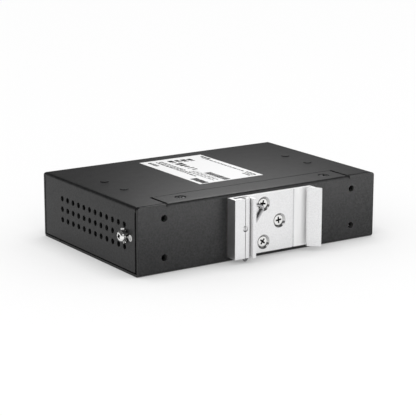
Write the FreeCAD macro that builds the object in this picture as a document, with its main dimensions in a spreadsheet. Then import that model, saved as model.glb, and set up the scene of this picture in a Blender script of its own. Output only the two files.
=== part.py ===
import FreeCAD, Part
import math
import os
import Sketcher
from types import SimpleNamespace

# Power over ethernet extender: a folded sheet-metal box with a rail clip on its back.
# X runs along the box, Y from the clip face to the port face, Z up from the underside.
# Everything is in millimetres. The origin is the middle of the underside.

SIZES = {
    # Folded housing
    "length": 120.0,
    "depth": 79.0,
    "height": 28.7,
    "sheet": 1.1,
    "bend_radius": 1.3,
    "seam_gap": 0.45,
    # Top flap of the rear cover and the ledge that it lies on
    "flap_end_inset": 13.9,
    "flap_depth": 12.8,
    "flap_gap": 0.4,
    "ledge_inset": 0.4,
    "relief_width": 0.3,
    "relief_depth": 1.3,
    "flap_screw_left": 10.8,
    "flap_screw_right": 8.1,
    "flap_screw_inset": 7.3,
    # Bottom flange of the port side and the tongue that grips it
    "flange_depth": 13.8,
    "tongue_end_inset": 8.0,
    "tongue_reach": 11.6,
    # Screws of three millimetres
    "shank_diameter": 2.7,
    "shank_clearance": 0.3,
    "head_diameter": 4.7,
    "seat_clearance": 0.05,
    "cover_head_sink": 0.15,
    "cover_screw_length": 4.0,
    "pan_bevel": 0.8,
    "recess_span": 2.7,
    "recess_width": 0.6,
    "recess_depth": 0.9,
    # Vent field of both sides
    "vent_diameter": 2.2,
    "vent_pitch_y": 4.73,
    "vent_pitch_z": 4.6,
    "vent_inset": 10.35,
    "vent_rise": 10.82,
    # Wall fixing holes of the back panel
    "wall_hole_diameter": 2.7,
    "wall_inset": 12.45,
    "wall_spacing_z": 16.3,
    "wall_collar_diameter": 4.6,
    "wall_collar_length": 1.4,
    # Earth screw on the left side
    "ground_length": 8.0,
    "ground_head_height": 1.9,
    "tooth_washer_diameter": 6.2,
    "tooth_washer_thickness": 0.7,
    "tooth_length": 0.6,
    "ground_nut_width": 5.5,
    "ground_nut_height": 2.4,
    # Rail clip, measured across the rail from the screw line and out from the panel
    "clip_low_gap": 2.15,
    "clip_top_gap": 1.35,
    "clip_plate": 1.8,
    "rail_slot": 1.4,
    "slot_end_x": 23.5,
    "nose_overlap": 2.6,
    "nose_height": 4.2,
    "hook_height": 7.5,
    "hook_bevel_x": 25.0,
    "hook_tip_x": 26.0,
    "hook_tip_height": 7.1,
    "hook_waist_height": 5.0,
    "clip_right_x": 24.8,
    "spring_left_x": 17.1,
    "spring_wall": 1.5,
    "spring_roof": 5.9,
    "groove_left_x": 9.95,
    "lip_left_x": 9.2,
    "lip_right_x": 7.6,
    "groove_floor": 4.3,
    "mark_x": 15.4,
    "mark_width": 0.7,
    "mark_depth": 0.6,
    "clip_corner": 0.25,
    "wire_slit": 0.25,
    "wire_bore": 1.7,
    "wire_bore_x": 12.0,
    "wire_bore_height": 4.5,
    "stake_diameter": 2.4,
    "stake_depth": 0.3,
    "clip_head_sink": 0.7,
    "clip_screw_length": 6.0,
    "clip_screw_spacing": 16.3,
    "clip_mid_screw_x": 8.1,
    # Spring wire
    "wire_diameter": 1.2,
    "wire_plate_gap": 0.1,
    "wire_foot_x": 8.6,
    "wire_foot_rise": 0.6,
    "wire_top_margin": 4.0,
    "wire_knee_rise": 8.3,
    "wire_apex_x": 0.15,
    "wire_apex_drop": 5.3,
    "wire_tail_x": 8.6,
    "wire_tail_drop": 3.0,
    "wire_knee_radius": 9.0,
    "wire_apex_radius": 1.3,
    # Label on the top
    "label_width": 32.4,
    "label_length": 49.2,
    "label_mid_x": 0.0,
    "label_mid_y": 6.8,
    "label_thickness": 0.1,
    # Circuit board on clinched standoffs under the top
    "standoff_inset": 12.65,
    "standoff_spacing_y": 16.5,
    "standoff_mid_y": 0.3,
    "standoff_head": 3.6,
    "standoff_proud": 0.3,
    "standoff_width": 5.5,
    "standoff_height": 4.0,
    "standoff_bore_depth": 4.6,
    "board_thickness": 1.6,
    "board_side_gap": 1.9,
    "board_front_gap": 1.9,
    "board_rear_gap": 5.4,
    "board_hole": 3.2,
    "board_screw_length": 5.0,
    "board_head_width": 5.5,
    "board_head_height": 2.0,
    # Network sockets
    "jack_pitch": 14.0,
    "jack_width": 15.4,
    "jack_height": 13.2,
    "jack_depth": 20.8,
    "jack_setback": 0.2,
    "jack_cut_clearance": 0.25,
    "shield_sheet": 0.25,
    "plug_width": 11.8,
    "plug_height": 7.0,
    "plug_depth": 13.5,
    "plug_rise": 1.9,
    "latch_width": 6.2,
    "latch_height": 1.7,
    "key_width": 3.6,
    "key_height": 1.0,
    "contact_pitch": 1.02,
    "contact_width": 0.5,
    "contact_thickness": 0.35,
    "contact_reach": 9.5,
    "contact_rise": 2.2,
    "lens_width": 2.6,
    "lens_height": 1.7,
    "lens_depth": 2.0,
    "lens_span": 11.4,
    "lens_drop": 0.7,
    "lens_clearance": 0.05,
    "in_jack_inset": 24.0,
    "out_jack_inset": 46.0,
    # Status lamp with its light pipe
    "lamp_inset": 8.5,
    "lamp_drop": 3.2,
    "pipe_width": 2.4,
    "pipe_clearance": 0.15,
    "lamp_width": 4.4,
    "lamp_depth": 4.0,
    "lamp_height": 5.6,
    "lamp_setback": 3.0,
    # Parts on the board, in a row along the back and a row in the middle
    "rear_row_inset": 14.5,
    "switch_offset": 2.0,
    "switch_width": 14.0,
    "switch_height": 1.4,
    "switch_chamfer": 0.3,
    "pad_thickness": 0.5,
    "sink_width": 19.0,
    "sink_base": 2.0,
    "sink_height": 8.0,
    "sink_fin": 1.2,
    "sink_space": 2.36,
    "magnetics_width": 12.4,
    "magnetics_depth": 8.6,
    "magnetics_height": 5.4,
    "magnetics_gap": 3.0,
    "core_width": 18.0,
    "core_depth": 14.0,
    "core_height": 12.0,
    "core_yoke": 3.6,
    "core_leg": 6.0,
    "core_inset": 31.0,
    "bobbin_wall": 0.9,
    "bobbin_clearance": 0.1,
    "bobbin_foot": 2.2,
    "winding_wall": 2.0,
    "capacitor_diameter": 10.0,
    "capacitor_height": 12.5,
    "capacitor_base": 1.0,
    "capacitor_pitch": 13.0,
    "capacitor_inset": 17.0,
    "coil_width": 10.0,
    "coil_height": 5.0,
    "coil_corner": 2.0,
    "coil_pitch": 13.0,
    "coil_x": -8.0,
    "pse_width": 8.0,
    "pse_height": 0.9,
    "pse_inset": 24.0,
    "chip_row_shift": 4.0,
    "pd_width": 6.0,
    "pd_height": 1.5,
    "pd_x": -6.0,
    "mosfet_width": 6.4,
    "mosfet_depth": 6.0,
    "mosfet_height": 2.3,
    "mosfet_pitch": 8.6,
    "mosfet_inset": 13.2,
    "bridge_width": 4.8,
    "bridge_depth": 4.0,
    "bridge_height": 2.5,
    "bridge_pitch": 4.8,
    "crystal_length": 11.0,
    "crystal_width": 4.6,
    "crystal_height": 3.6,
    "crystal_corner": 1.5,
    "crystal_gap": 3.0,
    "crystal_shift": 5.0,
}

VENT_COLUMNS = 12
VENT_ROWS = 3
OUT_PORTS = 4
CONTACTS = 8
CAPACITORS = 2
COILS = 2
MOSFETS = 4
RECTIFIERS = 2
SINK_SLOTS = 5
WASHER_TEETH = 12
SMALL_ROUND_SIDES = 8
CAN_SIDES = 16

Vector = FreeCAD.Vector
Rotation = FreeCAD.Rotation
doc = FreeCAD.newDocument("extender")
sheet = doc.addObject("Spreadsheet::Sheet", "dims")
for row, (alias, number) in enumerate(SIZES.items(), start=1):
    sheet.set("A%d" % row, alias)
    sheet.set("B%d" % row, str(number))
    sheet.setAlias("B%d" % row, alias)
doc.recompute()


class Size:
    """A length that carries its number and the sheet formula that gives it."""

    def __init__(self, number, formula):
        self.number = number
        self.formula = formula

    def __add__(self, other):
        other = as_size(other)
        return Size(self.number + other.number, "(%s + %s)" % (self.formula, other.formula))

    def __sub__(self, other):
        other = as_size(other)
        return Size(self.number - other.number, "(%s - %s)" % (self.formula, other.formula))

    def __mul__(self, other):
        other = as_size(other)
        return Size(self.number * other.number, "(%s * %s)" % (self.formula, other.formula))

    def __truediv__(self, other):
        other = as_size(other)
        return Size(self.number / other.number, "(%s / %s)" % (self.formula, other.formula))

    def __neg__(self):
        return Size(-self.number, "(0 - %s)" % self.formula)

    def __radd__(self, other):
        return as_size(other) + self

    def __rsub__(self, other):
        return as_size(other) - self

    def __rmul__(self, other):
        return as_size(other) * self


def as_size(value):
    if isinstance(value, Size):
        return value
    return Size(float(value), "(%r)" % float(value))


dim = SimpleNamespace(**{alias: Size(number, "dims." + alias) for alias, number in SIZES.items()})


def bind(thing, path, value):
    thing.setExpression(path, as_size(value).formula)


def place(thing, x, y, z, turn=None):
    if turn is not None:
        thing.Placement = FreeCAD.Placement(Vector(), turn)
    for axis, value in (("x", x), ("y", y), ("z", z)):
        bind(thing, "Placement.Base." + axis, value)


def new_sketch(body, name, role, offset):
    """A sketch on one of the body's own planes, moved along that plane's normal."""
    base = next(item for item in body.Origin.OriginFeatures if item.Role == role)
    sketch = body.newObject("Sketcher::SketchObject", name)
    sketch.AttachmentSupport = [(base, "")]
    sketch.MapMode = "FlatFace"
    bind(sketch, "AttachmentOffset.Base.z", offset)
    return sketch


def pin(sketch, geometry, point, corner):
    for kind, value in zip(("DistanceX", "DistanceY"), corner):
        constraint = Sketcher.Constraint(kind, -1, 1, geometry, point, value.number)
        index = sketch.addConstraint(constraint)
        sketch.setExpression("Constraints[%d]" % index, value.formula)


def outline(sketch, points):
    corners = [(as_size(a), as_size(b)) for a, b in points]
    first = sketch.GeometryCount
    count = len(corners)
    for i, (a, b) in enumerate(corners):
        c, d = corners[(i + 1) % count]
        line = Part.LineSegment(Vector(a.number, b.number, 0), Vector(c.number, d.number, 0))
        sketch.addGeometry(line, False)
    for i in range(count):
        follower = first + (i + 1) % count
        sketch.addConstraint(Sketcher.Constraint("Coincident", first + i, 2, follower, 1))
        pin(sketch, first + i, 1, corners[i])


def rectangle(sketch, x0, y0, x1, y1):
    outline(sketch, [(x0, y0), (x1, y0), (x1, y1), (x0, y1)])


def circle(sketch, x, y, diameter):
    x, y, radius = as_size(x), as_size(y), as_size(diameter) / 2
    ring = Part.Circle(Vector(x.number, y.number, 0), Vector(0, 0, 1), radius.number)
    index = sketch.addGeometry(ring, False)
    pin(sketch, index, 3, (x, y))
    constraint = sketch.addConstraint(Sketcher.Constraint("Radius", index, radius.number))
    sketch.setExpression("Constraints[%d]" % constraint, radius.formula)


def ring_points(x, y, diameter, sides):
    """Corners of an even polygon that has about the area of the round it stands for."""
    step = 2 * math.pi / sides
    radius = as_size(diameter) / 2 * math.sqrt(step / math.sin(step))
    turns = [(index + 0.5) * step for index in range(sides)]
    return [(x + radius * math.cos(turn), y + radius * math.sin(turn)) for turn in turns]


def small_round(sketch, x, y, diameter):
    """Small rounds that repeat or lie hidden are polygons, which keeps the model light."""
    outline(sketch, ring_points(as_size(x), as_size(y), diameter, SMALL_ROUND_SIDES))


def hexagon(sketch, x, y, width):
    """A hexagon by its width across flats, two corners on the sketch's Y direction."""
    side = width / 2
    long = width * 0.57735
    outline(sketch, [
        (x, y - long), (x + side, y - long / 2), (x + side, y + long / 2),
        (x, y + long), (x - side, y + long / 2), (x - side, y - long / 2),
    ])


def pad(body, sketch, length, reverse=False):
    feature = body.newObject("PartDesign::Pad", sketch.Name + "_pad")
    feature.Profile = sketch
    feature.Reversed = reverse
    bind(feature, "Length", length)
    return feature


def pocket(body, sketch, length, reverse=False):
    """Cuts against the sketch's normal, or along it when reversed, and must remove something."""
    doc.recompute()
    before = body.Shape.Volume
    feature = body.newObject("PartDesign::Pocket", sketch.Name + "_pocket")
    feature.Profile = sketch
    feature.Reversed = reverse
    bind(feature, "Length", length)
    doc.recompute()
    if not body.Shape.Volume < before - 1e-6:
        raise RuntimeError("nothing removed by " + feature.Name)
    return feature


def pattern(body, original, axis, spacing, count, axis2=None, spacing2=None, count2=1):
    feature = body.newObject("PartDesign::LinearPattern", original.Name + "_rows")
    feature.Originals = [original]
    feature.Direction = (original.Profile[0], [axis])
    bind(feature, "Length", spacing * (count - 1))
    feature.Occurrences = count
    if axis2:
        feature.Direction2 = (original.Profile[0], [axis2])
        bind(feature, "Length2", spacing2 * (count2 - 1))
        feature.Occurrences2 = count2
    body.Tip = feature
    return feature


def edges_where(shape, test):
    """Names of the straight edges whose middle point and direction pass the test."""
    names = []
    for index, edge in enumerate(shape.Edges, start=1):
        if isinstance(edge.Curve, Part.Line):
            middle = (edge.Vertexes[0].Point + edge.Vertexes[-1].Point) * 0.5
            span = edge.Vertexes[-1].Point - edge.Vertexes[0].Point
            if test(middle, span):
                names.append("Edge%d" % index)
    return names


def near(value, target):
    return abs(value - as_size(target).number) < 1e-4


def rounded(body, radius, test, name, kind="Fillet"):
    doc.recompute()
    base = body.Tip
    feature = body.newObject("PartDesign::" + kind, name)
    feature.Base = (base, edges_where(base.Shape, test))
    bind(feature, "Radius" if kind == "Fillet" else "Size", radius)
    return feature


def sunk_holes(body, sketch, bore, mouth, length, reverse=False):
    """Countersunk holes from the sketch's plane; the cone is ninety degrees."""
    doc.recompute()
    before = body.Shape.Volume
    feature = body.newObject("PartDesign::Hole", sketch.Name + "_holes")
    feature.Profile = sketch
    feature.Reversed = reverse
    feature.ThreadType = "None"
    feature.DepthType = "Dimension"
    feature.DrillPoint = "Flat"
    bind(feature, "Depth", length)
    bind(feature, "Diameter", bore)
    feature.HoleCutType = "Countersink"
    feature.HoleCutCustomValues = True
    bind(feature, "HoleCutDiameter", mouth)
    feature.HoleCutCountersinkAngle = 90
    doc.recompute()
    if not body.Shape.Volume < before - 1e-6:
        raise RuntimeError("nothing removed by " + feature.Name)
    return feature


def box(name, low, size):
    thing = doc.addObject("Part::Box", name)
    for prop, value in zip(("Length", "Width", "Height"), size):
        bind(thing, prop, value)
    place(thing, *low)
    return thing


def group(name, members):
    thing = doc.addObject("Part::Compound", name)
    thing.Links = members
    return thing


half_length = dim.length / 2
half_depth = dim.depth / 2
inner_top = dim.height - dim.sheet
hole_diameter = dim.shank_diameter + dim.shank_clearance
head_depth = (dim.head_diameter - dim.shank_diameter) / 2
nodes = []


def node(name, thing):
    thing.Label = name
    nodes.append((name, thing))


# Chassis: top and both sides bent from one sheet, then the port panel and its bottom flange.
chassis = doc.addObject("PartDesign::Body", "chassis")
side_low = dim.sheet + dim.seam_gap
chassis_rear = -half_depth + dim.sheet + dim.seam_gap
channel = new_sketch(chassis, "channel", "XZ_Plane", -half_depth)
outline(channel, [
    (-half_length, side_low),
    (-half_length, dim.height),
    (half_length, dim.height),
    (half_length, side_low),
    (half_length - dim.sheet, side_low),
    (half_length - dim.sheet, inner_top),
    (-half_length + dim.sheet, inner_top),
    (-half_length + dim.sheet, side_low),
])
pad(chassis, channel, half_depth - chassis_rear)
port_panel = new_sketch(chassis, "port_panel", "XZ_Plane", -half_depth)
rectangle(port_panel, -half_length, 0, half_length, inner_top)
pad(chassis, port_panel, dim.sheet)
flange_rear = half_depth - dim.flange_depth
flange = new_sketch(chassis, "flange", "XY_Plane", 0)
rectangle(flange, -half_length, flange_rear, half_length, half_depth)
pad(chassis, flange, dim.sheet)
inner_radius = dim.bend_radius - dim.sheet


def outer_bend(middle, span):
    top = near(middle.z, dim.height)
    side = top and near(abs(middle.x), half_length)
    front = near(middle.y, half_depth) and (top or near(middle.z, 0)) and near(middle.x, 0)
    return side or front


def inner_bend(middle, span):
    top = near(middle.z, inner_top)
    side = top and near(abs(middle.x), half_length - dim.sheet) and near(span.x, 0) and span.Length > 5
    front = near(middle.y, half_depth - dim.sheet) and near(middle.x, 0)
    return side or front and (top or near(middle.z, dim.sheet))


rounded(chassis, dim.bend_radius, outer_bend, "outer_bends")
rounded(chassis, inner_radius, inner_bend, "inner_bends")
side_cut = dim.sheet * 1.5
left_face = -half_length - dim.sheet / 4
right_face = half_length + dim.sheet / 4
panel_back = half_depth - dim.sheet
for seam_name, face, inward in (("left_seam", left_face, True), ("right_seam", right_face, False)):
    seam = new_sketch(chassis, seam_name, "YZ_Plane", face)
    rectangle(seam, panel_back - dim.seam_gap, dim.sheet, panel_back, dim.height - dim.relief_depth)
    pocket(chassis, seam, side_cut, reverse=inward)

# The top steps down by one sheet under the flap and carries the flap screws there.
notch_end = -half_depth + dim.flap_depth + dim.flap_gap
notch = new_sketch(chassis, "notch", "XY_Plane", dim.height)
flap_half = half_length - dim.flap_end_inset
notch_half = flap_half + dim.flap_gap
rectangle(notch, -notch_half, chassis_rear - dim.sheet, notch_half, notch_end)
pocket(chassis, notch, dim.sheet)
ledge_low = dim.height - dim.sheet * 2
ledge = new_sketch(chassis, "ledge", "XY_Plane", ledge_low)
ledge_half = flap_half - dim.ledge_inset
rectangle(ledge, -ledge_half, chassis_rear, ledge_half, notch_end + dim.sheet)
pad(chassis, ledge, dim.sheet)
flap_screw_y = -half_depth + dim.flap_screw_inset
flap_spots = [
    (dim.flap_screw_left - flap_half, flap_screw_y),
    (flap_half - dim.flap_screw_right, flap_screw_y),
]
cover_mouth = dim.head_diameter + (dim.cover_head_sink + dim.seat_clearance) * 2
cover_bore_depth = dim.sheet * 2
flap_bores = new_sketch(chassis, "ledge_bores", "XY_Plane", dim.height)
for x, y in flap_spots:
    circle(flap_bores, x, y, hole_diameter)
sunk_holes(chassis, flap_bores, hole_diameter, cover_mouth, cover_bore_depth)

# Socket cut-outs and the lamp hole of the port panel.
board_low = inner_top - dim.standoff_height - dim.board_thickness
jack_front = half_depth - dim.jack_setback
jack_low = board_low - dim.jack_height
cut_grow = dim.shield_sheet + dim.jack_cut_clearance


def gang_half(ports):
    return (dim.jack_pitch * (ports - 1) + dim.jack_width) / 2


in_jack_x = -half_length + dim.in_jack_inset
out_jack_x = half_length - dim.out_jack_inset
lamp_x = -half_length + dim.lamp_inset
port_cuts = new_sketch(chassis, "port_cuts", "XZ_Plane", -half_depth)
for middle_x, ports in ((in_jack_x, 1), (out_jack_x, OUT_PORTS)):
    reach = gang_half(ports) + cut_grow
    rectangle(port_cuts, middle_x - reach, jack_low - cut_grow, middle_x + reach, board_low + cut_grow)
lamp_z = board_low - dim.lamp_drop
pipe_half = dim.pipe_width / 2
pipe_cut = pipe_half + dim.pipe_clearance
rectangle(port_cuts, lamp_x - pipe_cut, lamp_z - pipe_cut, lamp_x + pipe_cut, lamp_z + pipe_cut)
pocket(chassis, port_cuts, dim.sheet, reverse=True)

# Vents: the left field leaves two places of its middle row free for the earth screw.
first_vent_y = -half_depth + dim.vent_inset
left_outer = new_sketch(chassis, "left_outer_vents", "YZ_Plane", left_face)
small_round(left_outer, first_vent_y, dim.vent_rise, dim.vent_diameter)
left_outer_cut = pocket(chassis, left_outer, side_cut, reverse=True)
pattern(chassis, left_outer_cut, "H_Axis", dim.vent_pitch_y, VENT_COLUMNS,
        "V_Axis", dim.vent_pitch_z * 2, VENT_ROWS - 1)
left_middle = new_sketch(chassis, "left_middle_vents", "YZ_Plane", left_face)
middle_y = first_vent_y + dim.vent_pitch_y * 2
middle_z = dim.vent_rise + dim.vent_pitch_z
small_round(left_middle, middle_y, middle_z, dim.vent_diameter)
left_middle_cut = pocket(chassis, left_middle, side_cut, reverse=True)
pattern(chassis, left_middle_cut, "H_Axis", dim.vent_pitch_y, VENT_COLUMNS - 2)
right_vents = new_sketch(chassis, "right_vents", "YZ_Plane", right_face)
small_round(right_vents, first_vent_y, dim.vent_rise, dim.vent_diameter)
right_cut = pocket(chassis, right_vents, side_cut)
pattern(chassis, right_cut, "H_Axis", dim.vent_pitch_y, VENT_COLUMNS,
        "V_Axis", dim.vent_pitch_z, VENT_ROWS)
ground_bore = new_sketch(chassis, "ground_bore", "YZ_Plane", left_face)
small_round(ground_bore, first_vent_y, middle_z, hole_diameter)
pocket(chassis, ground_bore, side_cut, reverse=True)

# Round holes that the standoffs are clinched into.
standoff_spots = []
for sx in (-1, 1):
    for sy in (-1, 1):
        spot_y = dim.standoff_mid_y + sy * dim.standoff_spacing_y / 2
        standoff_spots.append((sx * (half_length - dim.standoff_inset), spot_y))
clinch = new_sketch(chassis, "clinch_holes", "XY_Plane", dim.height)
for x, y in standoff_spots:
    circle(clinch, x, y, dim.standoff_head)
pocket(chassis, clinch, dim.sheet)
node("chassis_shell", chassis)

# Rear cover: underside, back panel and top flap bent from one sheet.
cover = doc.addObject("PartDesign::Body", "cover")
joint_y = flange_rear - dim.seam_gap
panel_inner = -half_depth + dim.sheet
cover_profile = new_sketch(cover, "cover_profile", "YZ_Plane", -half_length)
outline(cover_profile, [
    (-half_depth, 0),
    (joint_y, 0),
    (joint_y, dim.sheet),
    (panel_inner, dim.sheet),
    (panel_inner, dim.height),
    (-half_depth, dim.height),
])
pad(cover, cover_profile, dim.length)
flap = new_sketch(cover, "flap", "XY_Plane", inner_top)
rectangle(flap, -flap_half, -half_depth, flap_half, -half_depth + dim.flap_depth)
pad(cover, flap, dim.sheet)
reliefs = new_sketch(cover, "reliefs", "XZ_Plane", half_depth)
for side in (-1, 1):
    inside = side * flap_half
    outside = side * (flap_half + dim.relief_width)
    rectangle(reliefs, inside, dim.height - dim.relief_depth, outside, dim.height + dim.sheet)
pocket(cover, reliefs, dim.sheet)


def panel_corner(middle, span):
    return near(abs(middle.x), half_length) and near(middle.z, dim.height) and near(span.x, 0)


def cover_outer_bend(middle, span):
    return near(middle.x, 0) and near(middle.y, -half_depth)


def cover_inner_bend(middle, span):
    low = near(middle.z, dim.sheet)
    return near(middle.x, 0) and near(middle.y, panel_inner) and (low or near(middle.z, inner_top))


rounded(cover, dim.bend_radius, panel_corner, "panel_corners")
rounded(cover, dim.bend_radius, cover_outer_bend, "cover_outer_bends")
rounded(cover, inner_radius, cover_inner_bend, "cover_inner_bends")
tongue = new_sketch(cover, "tongue", "XY_Plane", dim.sheet)
tongue_half = half_length - dim.tongue_end_inset
rectangle(tongue, -tongue_half, joint_y - dim.sheet, tongue_half, joint_y + dim.tongue_reach)
pad(cover, tongue, dim.sheet)
cover_bores = new_sketch(cover, "cover_bores", "XY_Plane", dim.height)
for x, y in flap_spots:
    circle(cover_bores, x, y, hole_diameter)
sunk_holes(cover, cover_bores, hole_diameter, cover_mouth, cover_bore_depth)

# Tapped holes of the back panel for the clip screws and, in drawn collars, for wall fixing.
clip_length = dim.height - dim.clip_low_gap - dim.clip_top_gap
panel_mid_z = dim.clip_low_gap + clip_length / 2
wall_spots = []
for sx in (-1, 1):
    for sz in (-1, 1):
        wall_spots.append((sx * (half_length - dim.wall_inset), panel_mid_z + sz * dim.wall_spacing_z / 2))
clip_spots = [
    (as_size(0), panel_mid_z - dim.clip_screw_spacing / 2),
    (as_size(0), panel_mid_z + dim.clip_screw_spacing / 2),
    (dim.clip_mid_screw_x, panel_mid_z),
]
wall_collars = new_sketch(cover, "wall_collars", "XZ_Plane", -panel_inner)
wall_bores = new_sketch(cover, "wall_bores", "XZ_Plane", half_depth)
for x, z in wall_spots:
    small_round(wall_collars, x, z, dim.wall_collar_diameter)
    circle(wall_bores, x, z, dim.wall_hole_diameter)
pad(cover, wall_collars, dim.wall_collar_length, reverse=True)
pocket(cover, wall_bores, dim.sheet + dim.wall_collar_length)
panel_bores = new_sketch(cover, "panel_bores", "XZ_Plane", half_depth)
for x, z in clip_spots:
    small_round(panel_bores, x, z, hole_diameter)
pocket(cover, panel_bores, dim.sheet)
node("rear_cover", cover)


def cross_recess(body, top):
    """The crossed slot of a screwdriver, cut into the head from above."""
    arm = dim.recess_span / 2
    web = dim.recess_width / 2
    cross = new_sketch(body, body.Name + "_cross", "XY_Plane", top)
    outline(cross, [
        (arm, -web), (arm, web), (web, web), (web, arm), (-web, arm), (-web, web),
        (-arm, web), (-arm, -web), (-web, -web), (-web, -arm), (web, -arm), (web, -web),
    ])
    pocket(body, cross, dim.recess_depth)


def turned(name, points):
    """A body turned about its own Z axis from half a profile."""
    body = doc.addObject("PartDesign::Body", name)
    half = new_sketch(body, name + "_half", "XZ_Plane", 0)
    outline(half, points)
    spin = body.newObject("PartDesign::Revolution", name + "_turn")
    spin.Profile = half
    spin.ReferenceAxis = (half, ["V_Axis"])
    spin.Angle = 360
    return body


def add_shank(body, top, length):
    shank = new_sketch(body, body.Name + "_shank", "XY_Plane", top)
    small_round(shank, 0, 0, dim.shank_diameter)
    pad(body, shank, length, reverse=True)


def countersunk_screw(name, length):
    """Head face at Z zero, shank down."""
    head = dim.head_diameter / 2
    neck = dim.shank_diameter / 2
    body = turned(name, [(0, 0), (head, 0), (neck, -head_depth), (0, -head_depth)])
    add_shank(body, -head_depth, length - head_depth)
    cross_recess(body, 0)
    return body


def pan_screw(name, length, head_height):
    """Head seat at Z zero, shank down."""
    head = dim.head_diameter / 2
    crown = head - dim.pan_bevel
    points = [(0, head_height), (crown, head_height), (head, head_height - dim.pan_bevel), (head, 0), (0, 0)]
    body = turned(name, points)
    add_shank(body, 0, length)
    cross_recess(body, head_height)
    return body


TO_FRONT = Rotation(Vector(1, 0, 0), 90)
TO_LEFT = Rotation(Vector(0, 1, 0), -90)
ABOUT_Z = Vector(0, 0, 1)

# Screws of the flap, from above.
flap_screws = []
for index, ((x, y), angle) in enumerate(zip(flap_spots, (12, 55))):
    screw = countersunk_screw("flap_screw_%d" % index, dim.cover_screw_length)
    place(screw, x, y, dim.height - dim.cover_head_sink, Rotation(ABOUT_Z, angle))
    flap_screws.append(screw)
node("flap_screws", group("flap_screw_pair", flap_screws))

# Rail clip: one aluminium profile, cut to length, drilled for its screws and its wire.
clip = doc.addObject("PartDesign::Body", "clip")


def out(height):
    return -half_depth - height


slot_roof = dim.clip_plate + dim.rail_slot
nose_x = dim.slot_end_x - dim.nose_overlap
clip_profile = new_sketch(clip, "clip_profile", "XY_Plane", dim.clip_low_gap)
outline(clip_profile, [
    (-dim.spring_left_x, out(0)),
    (-dim.spring_left_x, out(dim.spring_roof)),
    (-dim.groove_left_x, out(dim.spring_roof)),
    (-dim.groove_left_x, out(dim.groove_floor)),
    (-dim.lip_left_x, out(dim.groove_floor)),
    (-dim.lip_left_x, out(dim.hook_height)),
    (-dim.lip_right_x, out(dim.hook_height)),
    (-dim.lip_right_x, out(slot_roof)),
    (-dim.spring_left_x + dim.spring_wall, out(slot_roof)),
    (-dim.spring_left_x + dim.spring_wall, out(dim.clip_plate)),
    (dim.mark_x - dim.mark_width / 2, out(dim.clip_plate)),
    (dim.mark_x, out(dim.clip_plate - dim.mark_depth)),
    (dim.mark_x + dim.mark_width / 2, out(dim.clip_plate)),
    (dim.slot_end_x, out(dim.clip_plate)),
    (dim.slot_end_x, out(slot_roof)),
    (nose_x, out(slot_roof)),
    (nose_x, out(dim.nose_height)),
    (dim.hook_bevel_x, out(dim.hook_height)),
    (dim.hook_tip_x, out(dim.hook_height)),
    (dim.hook_tip_x, out(dim.hook_tip_height)),
    (dim.clip_right_x, out(dim.hook_waist_height)),
    (dim.clip_right_x, out(0)),
])
pad(clip, clip_profile, clip_length)


def clip_edge(middle, span):
    tall = near(abs(span.z), clip_length)
    left = near(middle.x, -dim.spring_left_x) and near(middle.y, out(dim.spring_roof))
    lip = near(middle.y, out(dim.hook_height)) and middle.x < 0
    nose = near(middle.x, nose_x) and near(middle.y, out(dim.nose_height))
    return tall and (left or lip or nose)


rounded(clip, dim.clip_corner, clip_edge, "clip_corners")
wire_slit = new_sketch(clip, "wire_slit", "XY_Plane", dim.clip_low_gap)
slit_half = dim.wire_slit / 2
rectangle(wire_slit, -dim.wire_bore_x - slit_half, out(dim.spring_roof + dim.clip_corner),
          -dim.wire_bore_x + slit_half, out(dim.wire_bore_height))
pocket(clip, wire_slit, clip_length, reverse=True)
wire_bore = new_sketch(clip, "wire_bore", "XY_Plane", dim.clip_low_gap)
circle(wire_bore, -dim.wire_bore_x, out(dim.wire_bore_height), dim.wire_bore)
pocket(clip, wire_bore, clip_length, reverse=True)
stake = new_sketch(clip, "stake", "XZ_Plane", half_depth + dim.spring_roof)
small_round(stake, -dim.wire_bore_x, panel_mid_z, dim.stake_diameter)
pocket(clip, stake, dim.stake_depth)
clip_mouth = dim.head_diameter + (dim.clip_head_sink + dim.seat_clearance) * 2
clip_bores = new_sketch(clip, "clip_bores", "XZ_Plane", half_depth + dim.clip_plate)
for x, z in clip_spots:
    circle(clip_bores, x, z, hole_diameter)
sunk_holes(clip, clip_bores, hole_diameter, clip_mouth, dim.clip_plate)
node("din_clip", clip)

clip_screws = []
for index, ((x, z), angle) in enumerate(zip(clip_spots, (45, 20, 0))):
    screw = countersunk_screw("clip_screw_%d" % index, dim.clip_screw_length)
    seat_y = out(dim.clip_plate - dim.clip_head_sink)
    place(screw, x, seat_y, z, TO_FRONT * Rotation(ABOUT_Z, angle))
    clip_screws.append(screw)
node("clip_screws", group("clip_screw_set", clip_screws))


# Spring wire: a straight leg in the bore, a turn under the profile and a bowed leg in the slot.
def corner_arc(before, corner, after, radius):
    """The tangent arc that rounds a corner of a path, with its first and last points."""
    a = (before - corner).normalize()
    b = (after - corner).normalize()
    half_angle = a.getAngle(b) / 2
    middle = (a + b).normalize()
    reach = radius / math.tan(half_angle)
    start = corner + a * reach
    end = corner + b * reach
    centre = corner + middle * (reach ** 2 + radius ** 2) ** 0.5
    return start, centre - middle * radius, end


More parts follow.
